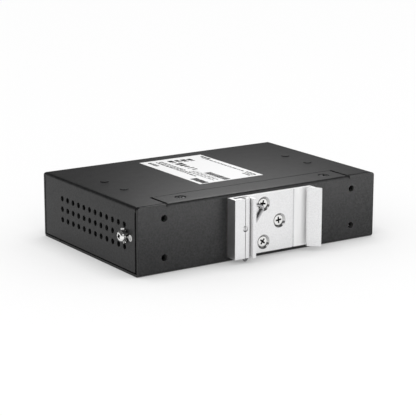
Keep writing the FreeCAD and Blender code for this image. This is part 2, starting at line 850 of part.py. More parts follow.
clip_low = SIZES["clip_low_gap"]
clip_top = clip_low + clip_length.number
slot_y = out(dim.clip_plate + dim.wire_plate_gap + dim.wire_diameter / 2).number
bore_y = out(dim.wire_bore_height).number
leg_top = Vector(-SIZES["wire_bore_x"], bore_y, clip_top - SIZES["wire_top_margin"])
leg_low = Vector(leg_top.x, leg_top.y, clip_low + SIZES["wire_foot_rise"])
foot = Vector(-SIZES["wire_foot_x"], slot_y, leg_low.z)
turn_low = (leg_low + foot) * 0.5 - Vector(0, 0, (foot - leg_low).Length / 2)
knee = Vector(foot.x, slot_y, clip_low + SIZES["wire_knee_rise"])
apex = Vector(-SIZES["wire_apex_x"], slot_y, clip_top - SIZES["wire_apex_drop"])
tail = Vector(-SIZES["wire_tail_x"], slot_y, clip_top - SIZES["wire_tail_drop"])
knee_arc = corner_arc(foot, knee, apex, SIZES["wire_knee_radius"])
apex_arc = corner_arc(knee, apex, tail, SIZES["wire_apex_radius"])
path = Part.Wire([
    Part.LineSegment(leg_top, leg_low).toShape(),
    Part.Arc(leg_low, turn_low, foot).toShape(),
    Part.LineSegment(foot, knee_arc[0]).toShape(),
    Part.Arc(*knee_arc).toShape(),
    Part.LineSegment(knee_arc[2], apex_arc[0]).toShape(),
    Part.Arc(*apex_arc).toShape(),
    Part.LineSegment(apex_arc[2], tail).toShape(),
])
ring = ring_points(as_size(leg_top.x), as_size(leg_top.y), dim.wire_diameter, SMALL_ROUND_SIDES)
corners = [Vector(x.number, y.number, leg_top.z) for x, y in ring]
section = Part.makePolygon(corners + corners[:1])
wire = doc.addObject("Part::Feature", "wire")
wire.Shape = path.makePipeShell([section], True, False)
wire.Placement = FreeCAD.Placement()
node("clip_spring_wire", wire)

# Earth screw with its toothed washer outside and its nut inside.
ground_seat = -half_length - dim.tooth_washer_thickness
ground_screw = pan_screw("earth_screw", dim.ground_length, dim.ground_head_height)
place(ground_screw, ground_seat, first_vent_y, middle_z, TO_LEFT)
node("ground_screw", ground_screw)
tooth_washer = doc.addObject("PartDesign::Body", "tooth_washer")
washer_ring = new_sketch(tooth_washer, "washer_ring", "YZ_Plane", ground_seat)
tips = ring_points(first_vent_y, middle_z, dim.tooth_washer_diameter, WASHER_TEETH * 2)
root_diameter = dim.tooth_washer_diameter - dim.tooth_length * 2
roots = ring_points(first_vent_y, middle_z, root_diameter, WASHER_TEETH * 2)
outline(washer_ring, [(tips, roots)[index % 2][index] for index in range(WASHER_TEETH * 2)])
small_round(washer_ring, first_vent_y, middle_z, hole_diameter)
pad(tooth_washer, washer_ring, dim.tooth_washer_thickness)
node("ground_lock_washer", tooth_washer)
ground_nut = doc.addObject("PartDesign::Body", "earth_nut")
nut_outline = new_sketch(ground_nut, "nut_outline", "YZ_Plane", -half_length + dim.sheet)
hexagon(nut_outline, first_vent_y, middle_z, dim.ground_nut_width)
small_round(nut_outline, first_vent_y, middle_z, hole_diameter)
pad(ground_nut, nut_outline, dim.ground_nut_height)
node("ground_nut", ground_nut)

# Label on the top.
label = doc.addObject("PartDesign::Body", "label")
label_outline = new_sketch(label, "label_outline", "XY_Plane", dim.height)
rectangle(label_outline, dim.label_mid_x - dim.label_width / 2, dim.label_mid_y - dim.label_length / 2,
          dim.label_mid_x + dim.label_width / 2, dim.label_mid_y + dim.label_length / 2)
pad(label, label_outline, dim.label_thickness)
node("rating_label", label)

# Standoffs clinched into the top, their round heads a little proud of it.
standoffs = []
for index, (x, y) in enumerate(standoff_spots):
    body = doc.addObject("PartDesign::Body", "standoff_%d" % index)
    hexes = new_sketch(body, body.Name + "_hex", "XY_Plane", 0)
    hexagon(hexes, as_size(0), as_size(0), dim.standoff_width)
    pad(body, hexes, dim.standoff_height, reverse=True)
    head = new_sketch(body, body.Name + "_head", "XY_Plane", 0)
    circle(head, 0, 0, dim.standoff_head)
    pad(body, head, dim.sheet + dim.standoff_proud)
    bore = new_sketch(body, body.Name + "_bore", "XY_Plane", -dim.standoff_height)
    small_round(bore, 0, 0, hole_diameter)
    pocket(body, bore, dim.standoff_bore_depth, reverse=True)
    place(body, x, y, inner_top)
    standoffs.append(body)
node("board_standoffs", group("standoff_set", standoffs))

# Circuit board and the screws that hold it from below.
board = doc.addObject("PartDesign::Body", "board")
board_half = half_length - dim.sheet - dim.board_side_gap
board_front = half_depth - dim.sheet - dim.board_front_gap
board_outline = new_sketch(board, "board_outline", "XY_Plane", board_low)
rectangle(board_outline, -board_half, panel_inner + dim.board_rear_gap, board_half, board_front)
for x, y in standoff_spots:
    small_round(board_outline, x, y, dim.board_hole)
pad(board, board_outline, dim.board_thickness)
node("circuit_board", board)
board_screws = []
for index, (x, y) in enumerate(standoff_spots):
    screw = doc.addObject("PartDesign::Body", "board_screw_%d" % index)
    head = new_sketch(screw, screw.Name + "_head", "XY_Plane", 0)
    hexagon(head, as_size(0), as_size(0), dim.board_head_width)
    pad(screw, head, dim.board_head_height, reverse=True)
    shank = new_sketch(screw, screw.Name + "_shank", "XY_Plane", 0)
    small_round(shank, 0, 0, dim.shank_diameter)
    pad(screw, shank, dim.board_screw_length)
    place(screw, x, y, board_low)
    board_screws.append(screw)
node("board_screws", group("board_screw_set", board_screws))


def network_socket(name, middle_x, ports):
    """A row of network sockets under the board: moulding, metal shield, contacts and lamp lenses."""
    reach = gang_half(ports)
    spots = [middle_x + (index - (ports - 1) / 2) * dim.jack_pitch for index in range(ports)]
    plug_low = jack_low + dim.plug_rise
    plug_top = plug_low + dim.plug_height
    latch_top = plug_top + dim.latch_height
    key_top = latch_top + dim.key_height
    lens_top = board_low - dim.lens_drop
    lens_low = lens_top - dim.lens_height

    moulding = doc.addObject("PartDesign::Body", name + "_moulding")
    face = new_sketch(moulding, name + "_face", "XZ_Plane", -jack_front)
    rectangle(face, middle_x - reach, jack_low, middle_x + reach, board_low)
    pad(moulding, face, dim.jack_depth)
    mouths = new_sketch(moulding, name + "_mouths", "XZ_Plane", -jack_front)
    for x in spots:
        wide = dim.plug_width / 2
        latch = dim.latch_width / 2
        key = dim.key_width / 2
        outline(mouths, [
            (x - wide, plug_low), (x + wide, plug_low), (x + wide, plug_top), (x + latch, plug_top),
            (x + latch, latch_top), (x + key, latch_top), (x + key, key_top), (x - key, key_top),
            (x - key, latch_top), (x - latch, latch_top), (x - latch, plug_top), (x - wide, plug_top),
        ])
    pocket(moulding, mouths, dim.plug_depth, reverse=True)
    windows = new_sketch(moulding, name + "_windows", "XZ_Plane", -jack_front)
    window_half = dim.lens_width / 2
    lens_spots = [x + side * (dim.lens_span - dim.lens_width) / 2 for x in spots for side in (-1, 1)]
    for x in lens_spots:
        rectangle(windows, x - window_half, lens_low, x + window_half, lens_top)
    pocket(moulding, windows, dim.lens_depth, reverse=True)
    node(name + "_housing", moulding)

    wrap = doc.addObject("PartDesign::Body", name + "_wrap")
    skin = new_sketch(wrap, name + "_skin", "XZ_Plane", -jack_front)
    thick = dim.shield_sheet
    outline(skin, [
        (middle_x - reach - thick, board_low), (middle_x - reach - thick, jack_low - thick),
        (middle_x + reach + thick, jack_low - thick), (middle_x + reach + thick, board_low),
        (middle_x + reach, board_low), (middle_x + reach, jack_low),
        (middle_x - reach, jack_low), (middle_x - reach, board_low),
    ])
    pad(wrap, skin, dim.jack_depth)
    back = new_sketch(wrap, name + "_back", "XZ_Plane", -(jack_front - dim.jack_depth))
    rectangle(back, middle_x - reach - thick, jack_low - thick, middle_x + reach + thick, board_low)
    pad(wrap, back, thick)
    node(name + "_shield", wrap)

    springs = []
    contact_rear = jack_front - dim.plug_depth
    for port, x in enumerate(spots):
        comb = doc.addObject("PartDesign::Body", "%s_comb_%d" % (name, port))
        first = x - (CONTACTS - 1) / 2 * dim.contact_pitch - dim.contact_width / 2
        arm = new_sketch(comb, comb.Name + "_arm", "YZ_Plane", first)
        tip_y = contact_rear + dim.contact_reach
        outline(arm, [
            (tip_y, plug_low),
            (tip_y, plug_low + dim.contact_thickness),
            (contact_rear, plug_low + dim.contact_rise),
            (contact_rear, plug_low + dim.contact_rise - dim.contact_thickness),
        ])
        first_arm = pad(comb, arm, dim.contact_width)
        row = comb.newObject("PartDesign::LinearPattern", comb.Name + "_row")
        row.Originals = [first_arm]
        row.Direction = (arm, ["N_Axis"])
        bind(row, "Length", dim.contact_pitch * (CONTACTS - 1))
        row.Occurrences = CONTACTS
        comb.Tip = row
        springs.append(comb)
    node(name + "_contacts", group(name + "_springs", springs))

    lenses = []
    for index, x in enumerate(lens_spots):
        slack = dim.lens_clearance
        low = (x - window_half + slack, jack_front - dim.lens_depth, lens_low + slack)
        size = (dim.lens_width - slack * 2, dim.lens_depth, dim.lens_height - slack * 2)
        lenses.append(box("%s_lens_%d" % (name, index), low, size))
    node(name + "_lamp_lenses", group(name + "_lenses", lenses))


network_socket("in_jack", in_jack_x, 1)
network_socket("out_jack", out_jack_x, OUT_PORTS)

# Status lamp on the board and the clear pipe that leads its light through the panel.
lamp_front = board_front - dim.lamp_setback
lamp_corner = (lamp_x - dim.lamp_width / 2, lamp_front - dim.lamp_depth, board_low - dim.lamp_height)
lamp = box("lamp_block", lamp_corner, (dim.lamp_width, dim.lamp_depth, dim.lamp_height))
node("status_lamp", lamp)
pipe = box("pipe", (lamp_x - pipe_half, lamp_front, lamp_z - pipe_half),
           (dim.pipe_width, jack_front - lamp_front, dim.pipe_width))
node("lamp_light_pipe", pipe)


def board_part(name, x, y, width, depth, height, chamfer=None):
    """A moulded part that hangs on the board by its flat face."""
    body = doc.addObject("PartDesign::Body", name)
    base = new_sketch(body, name + "_base", "XY_Plane", board_low)
    rectangle(base, x - width / 2, y - depth / 2, x + width / 2, y + depth / 2)
    pad(body, base, height, reverse=True)
    if chamfer is not None:
        bottom = board_low - height
        rounded(body, chamfer, lambda middle, span: near(middle.z, bottom), name + "_chamfer", "Chamfer")
    return body


# One line transformer module behind each socket.
magnetics_y = jack_front - dim.jack_depth - dim.shield_sheet - dim.magnetics_gap - dim.magnetics_depth / 2
module_spots = [in_jack_x]
for index in range(OUT_PORTS):
    module_spots.append(out_jack_x + (index - (OUT_PORTS - 1) / 2) * dim.jack_pitch)
modules = []
for index, x in enumerate(module_spots):
    modules.append(board_part("line_module_%d" % index, x, magnetics_y, dim.magnetics_width,
                              dim.magnetics_depth, dim.magnetics_height))
node("line_transformers", group("line_module_set", modules))

# The rear row stands off the back panel, the middle row half way between its neighbours.
rear_row_y = -half_depth + dim.rear_row_inset
rear_row_front = rear_row_y + dim.capacitor_diameter / 2
middle_row_y = (rear_row_front + magnetics_y - dim.magnetics_depth / 2) / 2

# Switch chip with its pad and finned heat sink.
switch_x = out_jack_x + dim.switch_offset
chip = board_part("switch_body", switch_x, middle_row_y, dim.switch_width, dim.switch_width,
                  dim.switch_height, dim.switch_chamfer)
node("switch_chip", chip)
chip_low = board_low - dim.switch_height
pad_half = dim.switch_width / 2 - dim.switch_chamfer
heat_pad = box("pad_block", (switch_x - pad_half, middle_row_y - pad_half, chip_low - dim.pad_thickness),
               (pad_half * 2, pad_half * 2, dim.pad_thickness))
node("heat_pad", heat_pad)
sink = doc.addObject("PartDesign::Body", "sink")
sink_top = chip_low - dim.pad_thickness
sink_half = dim.sink_width / 2
sink_block = new_sketch(sink, "sink_block", "XY_Plane", sink_top)
rectangle(sink_block, switch_x - sink_half, middle_row_y - sink_half,
          switch_x + sink_half, middle_row_y + sink_half)
pad(sink, sink_block, dim.sink_height, reverse=True)
sink_slot = new_sketch(sink, "sink_slot", "XZ_Plane", -(middle_row_y - sink_half))
slot_pitch = dim.sink_fin + dim.sink_space
first_slot = switch_x - (SINK_SLOTS - 1) / 2 * slot_pitch
rectangle(sink_slot, first_slot - dim.sink_space / 2, sink_top - dim.sink_height - dim.sink_fin,
          first_slot + dim.sink_space / 2, sink_top - dim.sink_base)
slot_cut = pocket(sink, sink_slot, dim.sink_width)
pattern(sink, slot_cut, "H_Axis", slot_pitch, SINK_SLOTS)
node("chip_heat_sink", sink)

# Power transformer: a ferrite core with two windows round a wound bobbin.
core_top = board_low - dim.bobbin_foot
core_low = core_top - dim.core_height
core_x = -half_length + dim.core_inset
core = doc.addObject("PartDesign::Body", "core")
core_face = new_sketch(core, "core_face", "XZ_Plane", -(middle_row_y - dim.core_depth / 2))
core_half = dim.core_width / 2
rectangle(core_face, core_x - core_half, core_low, core_x + core_half, core_top)
leg_half = dim.core_leg / 2
window_low = core_low + dim.core_yoke / 2
window_top = core_top - dim.core_yoke / 2
window_out = core_half - dim.core_yoke / 2
for side in (-1, 1):
    rectangle(core_face, core_x + side * leg_half, window_low, core_x + side * window_out, window_top)
pad(core, core_face, dim.core_depth, reverse=True)
node("transformer_core", core)
bobbin = doc.addObject("PartDesign::Body", "bobbin")
slack = dim.bobbin_clearance
tube_in = leg_half + slack
tube_out = tube_in + dim.bobbin_wall
tube = new_sketch(bobbin, "tube", "XZ_Plane", -(middle_row_y - dim.core_depth / 2))
tube_low = window_low + slack
tube_top = window_top - slack
for side in (-1, 1):
    rectangle(tube, core_x + side * tube_in, tube_low, core_x + side * tube_out, tube_top)
pad(bobbin, tube, dim.core_depth, reverse=True)
feet = new_sketch(bobbin, "feet", "XY_Plane", board_low)
for side in (-1, 1):
    edge_y = middle_row_y + side * dim.core_depth / 2
    rectangle(feet, core_x - core_half, edge_y, core_x + core_half, edge_y + side * dim.bobbin_foot)
pad(bobbin, feet, dim.bobbin_foot + dim.core_height, reverse=True)
shelf = new_sketch(bobbin, "shelf", "XY_Plane", board_low)
rectangle(shelf, core_x - core_half, middle_row_y - dim.core_depth / 2 - dim.bobbin_foot,
          core_x + core_half, middle_row_y + dim.core_depth / 2 + dim.bobbin_foot)
pad(bobbin, shelf, dim.bobbin_foot, reverse=True)
node("transformer_bobbin", bobbin)
winding = doc.addObject("PartDesign::Body", "winding")
coil_out = tube_out + dim.winding_wall
turns = new_sketch(winding, "turns", "XZ_Plane", -(middle_row_y - dim.core_depth / 2))
for side in (-1, 1):
    rectangle(turns, core_x + side * tube_out, tube_low, core_x + side * coil_out, tube_top)
pad(winding, turns, dim.core_depth, reverse=True)
node("transformer_winding", winding)

# Smoothing capacitors: rolled cans on square plastic bases.
cans = []
bases = []
for index in range(CAPACITORS):
    x = -half_length + dim.capacitor_inset + index * dim.capacitor_pitch
    bases.append(board_part("can_base_%d" % index, x, rear_row_y, dim.capacitor_diameter,
                            dim.capacitor_diameter, dim.capacitor_base))
    can = doc.addObject("PartDesign::Body", "can_%d" % index)
    can_end = new_sketch(can, "can_end_%d" % index, "XY_Plane", board_low - dim.capacitor_base)
    outline(can_end, ring_points(x, rear_row_y, dim.capacitor_diameter, CAN_SIDES))
    pad(can, can_end, dim.capacitor_height - dim.capacitor_base, reverse=True)
    cans.append(can)
node("capacitor_cans", group("can_set", cans))
node("capacitor_bases", group("can_base_set", bases))


def upright(middle, span):
    return near(span.x, 0) and near(span.y, 0)


# Power inductors, switching transistors, rectifiers and controllers.
coils = []
for index in range(COILS):
    coil = board_part("coil_%d" % index, dim.coil_x + index * dim.coil_pitch, rear_row_y,
                      dim.coil_width, dim.coil_width, dim.coil_height)
    rounded(coil, dim.coil_corner, upright, "coil_corners_%d" % index, "Chamfer")
    coils.append(coil)
node("power_inductors", group("coil_set", coils))
transistors = []
for index in range(MOSFETS):
    x = half_length - dim.mosfet_inset - index * dim.mosfet_pitch
    transistors.append(board_part("transistor_%d" % index, x, rear_row_y,
                                  dim.mosfet_width, dim.mosfet_depth, dim.mosfet_height))
node("port_transistors", group("transistor_set", transistors))
rectifiers = []
for index in range(RECTIFIERS):
    y = dim.standoff_mid_y + (index - (RECTIFIERS - 1) / 2) * dim.bridge_pitch
    rectifiers.append(board_part("rectifier_%d" % index, -half_length + dim.standoff_inset, y,
                                 dim.bridge_width, dim.bridge_depth, dim.bridge_height))
node("bridge_rectifiers", group("rectifier_set", rectifiers))
chip_y = middle_row_y - dim.chip_row_shift
node("power_source_chip", board_part("source_chip", half_length - dim.pse_inset, chip_y,
                                     dim.pse_width, dim.pse_width, dim.pse_height))
node("powered_device_chip", board_part("device_chip", dim.pd_x, chip_y,
                                       dim.pd_width, dim.pd_width, dim.pd_height))
crystal_x = switch_x - sink_half - dim.crystal_gap - dim.crystal_length / 2
crystal_y = middle_row_y + dim.crystal_shift
crystal = board_part("crystal_can", crystal_x, crystal_y, dim.crystal_length, dim.crystal_width,
                     dim.crystal_height)
rounded(crystal, dim.crystal_corner, upright, "crystal_ends", "Chamfer")
node("crystal", crystal)

# Everything is checked before anything is written.
doc.recompute()
for thing in doc.Objects:
    if "Invalid" in thing.State or "Error" in thing.State:
        raise RuntimeError("failed: " + thing.Name)
for name, thing in nodes:
    if thing.Shape.isNull() or not thing.Shape.isValid():
        raise RuntimeError("bad shape: " + name)
os.makedirs("parts", exist_ok=True)
for name, thing in nodes:
    thing.Shape.exportStep("parts/%s.step" % name)
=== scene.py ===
import math
import random

import bmesh
import bpy
from mathutils import Matrix, Vector


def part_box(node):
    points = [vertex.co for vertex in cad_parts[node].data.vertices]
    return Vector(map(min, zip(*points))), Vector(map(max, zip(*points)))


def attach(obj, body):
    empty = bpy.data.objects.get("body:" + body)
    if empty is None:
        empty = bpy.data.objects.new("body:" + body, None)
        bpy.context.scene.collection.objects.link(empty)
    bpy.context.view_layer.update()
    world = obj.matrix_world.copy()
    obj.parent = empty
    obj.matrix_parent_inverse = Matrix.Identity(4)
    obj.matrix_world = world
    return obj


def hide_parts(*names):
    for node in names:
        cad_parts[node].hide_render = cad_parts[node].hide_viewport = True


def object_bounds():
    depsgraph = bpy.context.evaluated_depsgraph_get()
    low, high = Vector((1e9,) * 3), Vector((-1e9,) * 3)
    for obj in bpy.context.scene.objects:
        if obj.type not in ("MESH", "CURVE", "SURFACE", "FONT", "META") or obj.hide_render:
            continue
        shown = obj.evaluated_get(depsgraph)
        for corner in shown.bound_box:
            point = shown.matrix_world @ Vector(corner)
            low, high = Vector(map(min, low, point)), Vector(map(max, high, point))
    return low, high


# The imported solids, in metres. Every piece below sits on them or stands for one of them.
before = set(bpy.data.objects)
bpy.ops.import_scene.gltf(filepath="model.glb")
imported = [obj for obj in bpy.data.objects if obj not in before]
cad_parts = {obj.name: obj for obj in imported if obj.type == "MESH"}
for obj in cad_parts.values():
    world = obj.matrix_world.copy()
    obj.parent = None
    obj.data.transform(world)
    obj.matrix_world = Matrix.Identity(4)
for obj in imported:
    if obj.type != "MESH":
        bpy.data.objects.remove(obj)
cad_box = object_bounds()
MM = 0.001


# Chassis: top, both sides and port panel folded from one 1.1 mm steel sheet, with punched vents.
# It is powder coated black: a dry, matt coat with a fine grain, and no bare edge shows.
VENT_RADIUS = 1.17 * MM
VENT_COLUMNS = 12
VENT_ROWS = 3
VENT_FIRST = Vector((0, -29.15 * MM, 10.82 * MM))
VENT_PITCH_Y = 4.73 * MM
VENT_PITCH_Z = 4.6 * MM
VENT_SIDES = 28
EARTH_ROW = 1
EARTH_COLUMNS = 2
CUT_REACH = 4 * MM
SHEET_EDGE = 0.12 * MM
SEAM_FRONT = -37.3 * MM
SEAM_TOP = 26.6 * MM
TOP_SEAM = Vector((54.1, -39.1, 28.4)) * MM
TOP_SEAM_SIZE = (13.8 * MM, 2.8 * MM, 2.0 * MM)
WELD = 0.002 * MM
FLAT_DEGREES = 1
SHARP_DEGREES = 32
EDGE_DEGREES = 40
COAT_DARK = (0.003, 0.003, 0.0032, 1)
COAT_PALE = (0.019, 0.019, 0.0195, 1)


def add_node(tree, kind, inputs=None, **settings):
    """A shader node with its settings, and with values or links on its inputs."""
    made = tree.nodes.new(kind)
    for key, value in settings.items():
        setattr(made, key, value)
    for key, value in (inputs or {}).items():
        if isinstance(value, bpy.types.NodeSocket):
            tree.links.new(value, made.inputs[key])
        else:
            made.inputs[key].default_value = value
    return made


def new_group(name, inputs, outputs):
    """A shader node group with its named sockets, and its own input and output nodes."""
    tree = bpy.data.node_groups.new(name, "ShaderNodeTree")
    for socket, value in inputs.items():
        kind = "NodeSocketVector" if isinstance(value, tuple) else "NodeSocketFloat"
        made = tree.interface.new_socket(socket, in_out="INPUT", socket_type=kind)
        made.default_value = value
    for socket in outputs:
        tree.interface.new_socket(socket, in_out="OUTPUT", socket_type="NodeSocketFloat")
    return tree, tree.nodes.new("NodeGroupInput"), tree.nodes.new("NodeGroupOutput")


def cells_per_metre(tree, size_mm):
    made = add_node(tree, "ShaderNodeMath", {0: 1000.0, 1: size_mm}, operation="DIVIDE")
    return made.outputs[0]


def noise(tree, place, scale, detail):
    made = add_node(tree, "ShaderNodeTexNoise", {"Vector": place, "Scale": scale, "Detail": detail})
    return made.outputs["Fac"]


def grain_group():
    """Fine bumps and slow patches, both by their size in millimetres."""
    tree, given, put_out = new_group(
        "fine_grain", {"Grain mm": 0.4, "Patch mm": 12.0}, ("Height", "Patch"))
    place = add_node(tree, "ShaderNodeTexCoord").outputs["Object"]
    fine = noise(tree, place, cells_per_metre(tree, given.outputs["Grain mm"]), 2.0)
    slow = noise(tree, place, cells_per_metre(tree, given.outputs["Patch mm"]), 3.0)
    tree.links.new(fine, put_out.inputs["Height"])
    tree.links.new(slow, put_out.inputs["Patch"])
    return tree


FINE_GRAIN = grain_group()


def hollow_group():
    """One in the open and less in hollows, by how far in millimetres a hollow reaches."""
    tree, given, put_out = new_group("hollows", {"Reach mm": 1.0}, ("Open",))
    reach = add_node(tree, "ShaderNodeMath", {0: given.outputs["Reach mm"], 1: MM}, operation="MULTIPLY")
    shade = add_node(tree, "ShaderNodeAmbientOcclusion", {"Distance": reach.outputs[0]}, samples=12)
    tree.links.new(shade.outputs["AO"], put_out.inputs["Open"])
    return tree


HOLLOWS = hollow_group()


def new_finish(name, **sockets):
    """A material, and its Principled shader with plain values on its sockets."""
    made = bpy.data.materials.new(name)
    made.use_nodes = True
    shader = made.node_tree.nodes["Principled BSDF"]
    for socket, value in sockets.items():
        shader.inputs[socket.replace("_", " ")].default_value = value
    return made, made.node_tree, shader


def place_group(tree, group, **inputs):
    made = tree.nodes.new("ShaderNodeGroup")
    made.node_tree = group
    for socket, value in inputs.items():
        made.inputs[socket.replace("_", " ")].default_value = value
    return made


def tint(tree, shader, mask, dark, pale, low=0.3, high=0.7):
    """The mask runs the base colour from dark to pale."""
    ramp = tree.nodes.new("ShaderNodeValToRGB")
    ramp.color_ramp.elements[0].position = low
    ramp.color_ramp.elements[1].position = high
    ramp.color_ramp.elements[0].color = dark
    ramp.color_ramp.elements[1].color = pale
    tree.links.new(mask, ramp.inputs["Fac"])
    tree.links.new(ramp.outputs["Color"], shader.inputs["Base Color"])


def paint_shade_in_hollows(tree, shader, reach, dark):
    """Painted shade: the base colour is multiplied down in hollows by their ambient occlusion."""
    hollows = place_group(tree, HOLLOWS, Reach_mm=reach)
    share = add_node(tree, "ShaderNodeMapRange", {"Value": hollows.outputs["Open"], "From Min": 0.25,
                                                  "From Max": 0.8, "To Min": dark, "To Max": 1.0})
    plain = shader.inputs["Base Color"].links[0].from_socket
    mixed = add_node(tree, "ShaderNodeMix", data_type="RGBA", blend_type="MULTIPLY")
    mixed.inputs["Factor"].default_value = 1.0
    tree.links.new(plain, mixed.inputs["A"])
    tree.links.new(share.outputs["Result"], mixed.inputs["B"])
    tree.links.new(mixed.outputs["Result"], shader.inputs["Base Color"])


def spread(tree, mask, socket, low, high):
    """The mask runs a socket of the shader between two values."""
    ranged = add_node(tree, "ShaderNodeMapRange", {"Value": mask, "To Min": low, "To Max": high})
    tree.links.new(ranged.outputs["Result"], socket)


def emboss(tree, shader, height, strength, depth):
    bump = add_node(tree, "ShaderNodeBump", {"Height": height, "Strength": strength, "Distance": depth})
    tree.links.new(bump.outputs["Normal"], shader.inputs["Normal"])


def powder_coat():
    made, tree, shader = new_finish("black_powder_coat", Specular_IOR_Level=0.25)
    grain = place_group(tree, FINE_GRAIN, Grain_mm=0.7, Patch_mm=5.0)
    tint(tree, shader, grain.outputs["Height"], COAT_DARK, COAT_PALE)
    spread(tree, grain.outputs["Patch"], shader.inputs["Roughness"], 0.36, 0.44)
    emboss(tree, shader, grain.outputs["Height"], 0.6, 0.06 * MM)
    return made


COAT = powder_coat()


def link_piece(name, mesh):
    piece = bpy.data.objects.new(name, mesh)
    bpy.context.scene.collection.objects.link(piece)
    return piece


def smooth_shade(mesh):
    mesh.polygons.foreach_set("use_smooth", [True] * len(mesh.polygons))
    mesh.set_sharp_from_angle(angle=math.radians(SHARP_DEGREES))


def finish_mesh(shape, name):
    bmesh.ops.recalc_face_normals(shape, faces=shape.faces)
    mesh = bpy.data.meshes.new(name)
    shape.to_mesh(mesh)
    shape.free()
    smooth_shade(mesh)
    return link_piece(name, mesh)


def bake_modifiers(piece):
    """The piece's mesh takes the form that its modifiers give."""
    seen = piece.evaluated_get(bpy.context.evaluated_depsgraph_get())
    shaped = bpy.data.meshes.new_from_object(seen)
    shaped.name = piece.data.name
    piece.modifiers.clear()
    piece.data = shaped


def fine_copy(node, name, edge, cutter=None):
    """A copy of a solid that stays in its box: facets joined, cutter taken out, sharp edges broken."""
    shape = bmesh.new()
    shape.from_mesh(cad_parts[node].data)
    bmesh.ops.remove_doubles(shape, verts=shape.verts, dist=WELD)
    bmesh.ops.dissolve_limit(shape, angle_limit=math.radians(FLAT_DEGREES),
                             verts=shape.verts, edges=shape.edges)
    mesh = bpy.data.meshes.new(name)
    shape.to_mesh(mesh)
    shape.free()
    smooth_shade(mesh)
    piece = link_piece(name, mesh)
    if cutter is not None:
        cut = piece.modifiers.new("cut", "BOOLEAN")
        cut.operation = "DIFFERENCE"
        cut.object = cutter
    broken = piece.modifiers.new("broken_edges", "BEVEL")
    broken.width = edge
    broken.segments = 2
    broken.limit_method = "ANGLE"
    broken.angle_limit = math.radians(EDGE_DEGREES)
    broken.use_clamp_overlap = False
    even = piece.modifiers.new("even_shading", "WEIGHTED_NORMAL")
    even.weight = 100
    bake_modifiers(piece)
    if cutter is not None:
        bpy.data.objects.remove(cutter)
    low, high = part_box(node)
    for vertex in piece.data.vertices:
        vertex.co = [min(max(value, a), b) for value, a, b in zip(vertex.co, low, high)]
    return piece


def stand_in(piece, node, slot, *materials):
    """The piece takes its material, rides on the body and stands for the solid."""
    for material in materials:
        piece.data.materials.append(material)
    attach(piece, "root")
    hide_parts(node)


def add_box(shape, middle, size):
    place = Matrix.Translation(middle) @ Matrix.Diagonal((*size, 1))
    bmesh.ops.create_cube(shape, size=1.0, matrix=place)


def chassis_cutters():
    """What is cut out of the sheet: seams at the back panel, and vents except at the earth screw."""
    shape = bmesh.new()
    low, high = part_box("chassis_shell")
    for side_x in (low.x, high.x):
        add_box(shape, (side_x, SEAM_FRONT - CUT_REACH / 2, SEAM_TOP / 2 - CUT_REACH / 2),
                (CUT_REACH, CUT_REACH, SEAM_TOP + CUT_REACH))
        add_box(shape, (math.copysign(TOP_SEAM.x, side_x), TOP_SEAM.y, TOP_SEAM.z), TOP_SEAM_SIZE)
        for column in range(VENT_COLUMNS):
            for row in range(VENT_ROWS):
                if side_x < 0 and row == EARTH_ROW and column < EARTH_COLUMNS:
                    continue
                spot = VENT_FIRST + Vector((side_x, column * VENT_PITCH_Y, row * VENT_PITCH_Z))
                turn = Matrix.Translation(spot) @ Matrix.Rotation(math.radians(90), 4, "Y")
                bmesh.ops.create_cone(shape, cap_ends=True, segments=VENT_SIDES, radius1=VENT_RADIUS,
                                      radius2=VENT_RADIUS, depth=CUT_REACH, matrix=turn)
    return finish_mesh(shape, "chassis_cutters")


chassis = fine_copy("chassis_shell", "folded_chassis", SHEET_EDGE, chassis_cutters())
stand_in(chassis, "chassis_shell", "black_coat", COAT)


# Rear cover: underside, back panel and top flap folded from a second sheet, in the same coat.
# The flap lies in the step of the top, and the four drawn wall holes are tapped after coating.
TAPPED_X = 47.55 * MM
TAPPED_Z = (6.6 * MM, 22.9 * MM)
TAPPED_REACH = 1.5 * MM
TAPPED_DEPTH = 0.3 * MM
WALL_TILT = 0.2
FLAP_CUT_X = 46.6 * MM
FLAP_CUT_Y = -31.8 * MM
FLAP_CUT_SIZE = (2.6 * MM, 13.6 * MM, 1.8 * MM)


def bare_steel():
    made, tree, shader = new_finish("bare_tapped_steel", Metallic=1.0)
    grain = place_group(tree, FINE_GRAIN, Grain_mm=0.15, Patch_mm=0.6)
    tint(tree, shader, grain.outputs["Patch"], (0.3, 0.3, 0.3, 1), (0.6, 0.6, 0.6, 1))
    spread(tree, grain.outputs["Height"], shader.inputs["Roughness"], 0.25, 0.4)
    return made


panel_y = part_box("rear_cover")[0].y
flap_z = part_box("rear_cover")[1].z


def flap_end_cutters():
    """Both ends of the flap are filed back a little, so that it drops into its step."""
    shape = bmesh.new()
    for side in (-1, 1):
        add_box(shape, (side * FLAP_CUT_X, FLAP_CUT_Y, flap_z), FLAP_CUT_SIZE)
    return finish_mesh(shape, "flap_end_cutters")


cover = fine_copy("rear_cover", "folded_cover", SHEET_EDGE, flap_end_cutters())
for face in cover.data.polygons:
    on_wall = abs(face.normal.y) < WALL_TILT and face.center.y > panel_y + TAPPED_DEPTH
    for z in TAPPED_Z:
        across = math.hypot(abs(face.center.x) - TAPPED_X, face.center.z - z)
        if on_wall and across < TAPPED_REACH:
            face.material_index = 1
stand_in(cover, "rear_cover", "black_coat", COAT, bare_steel())


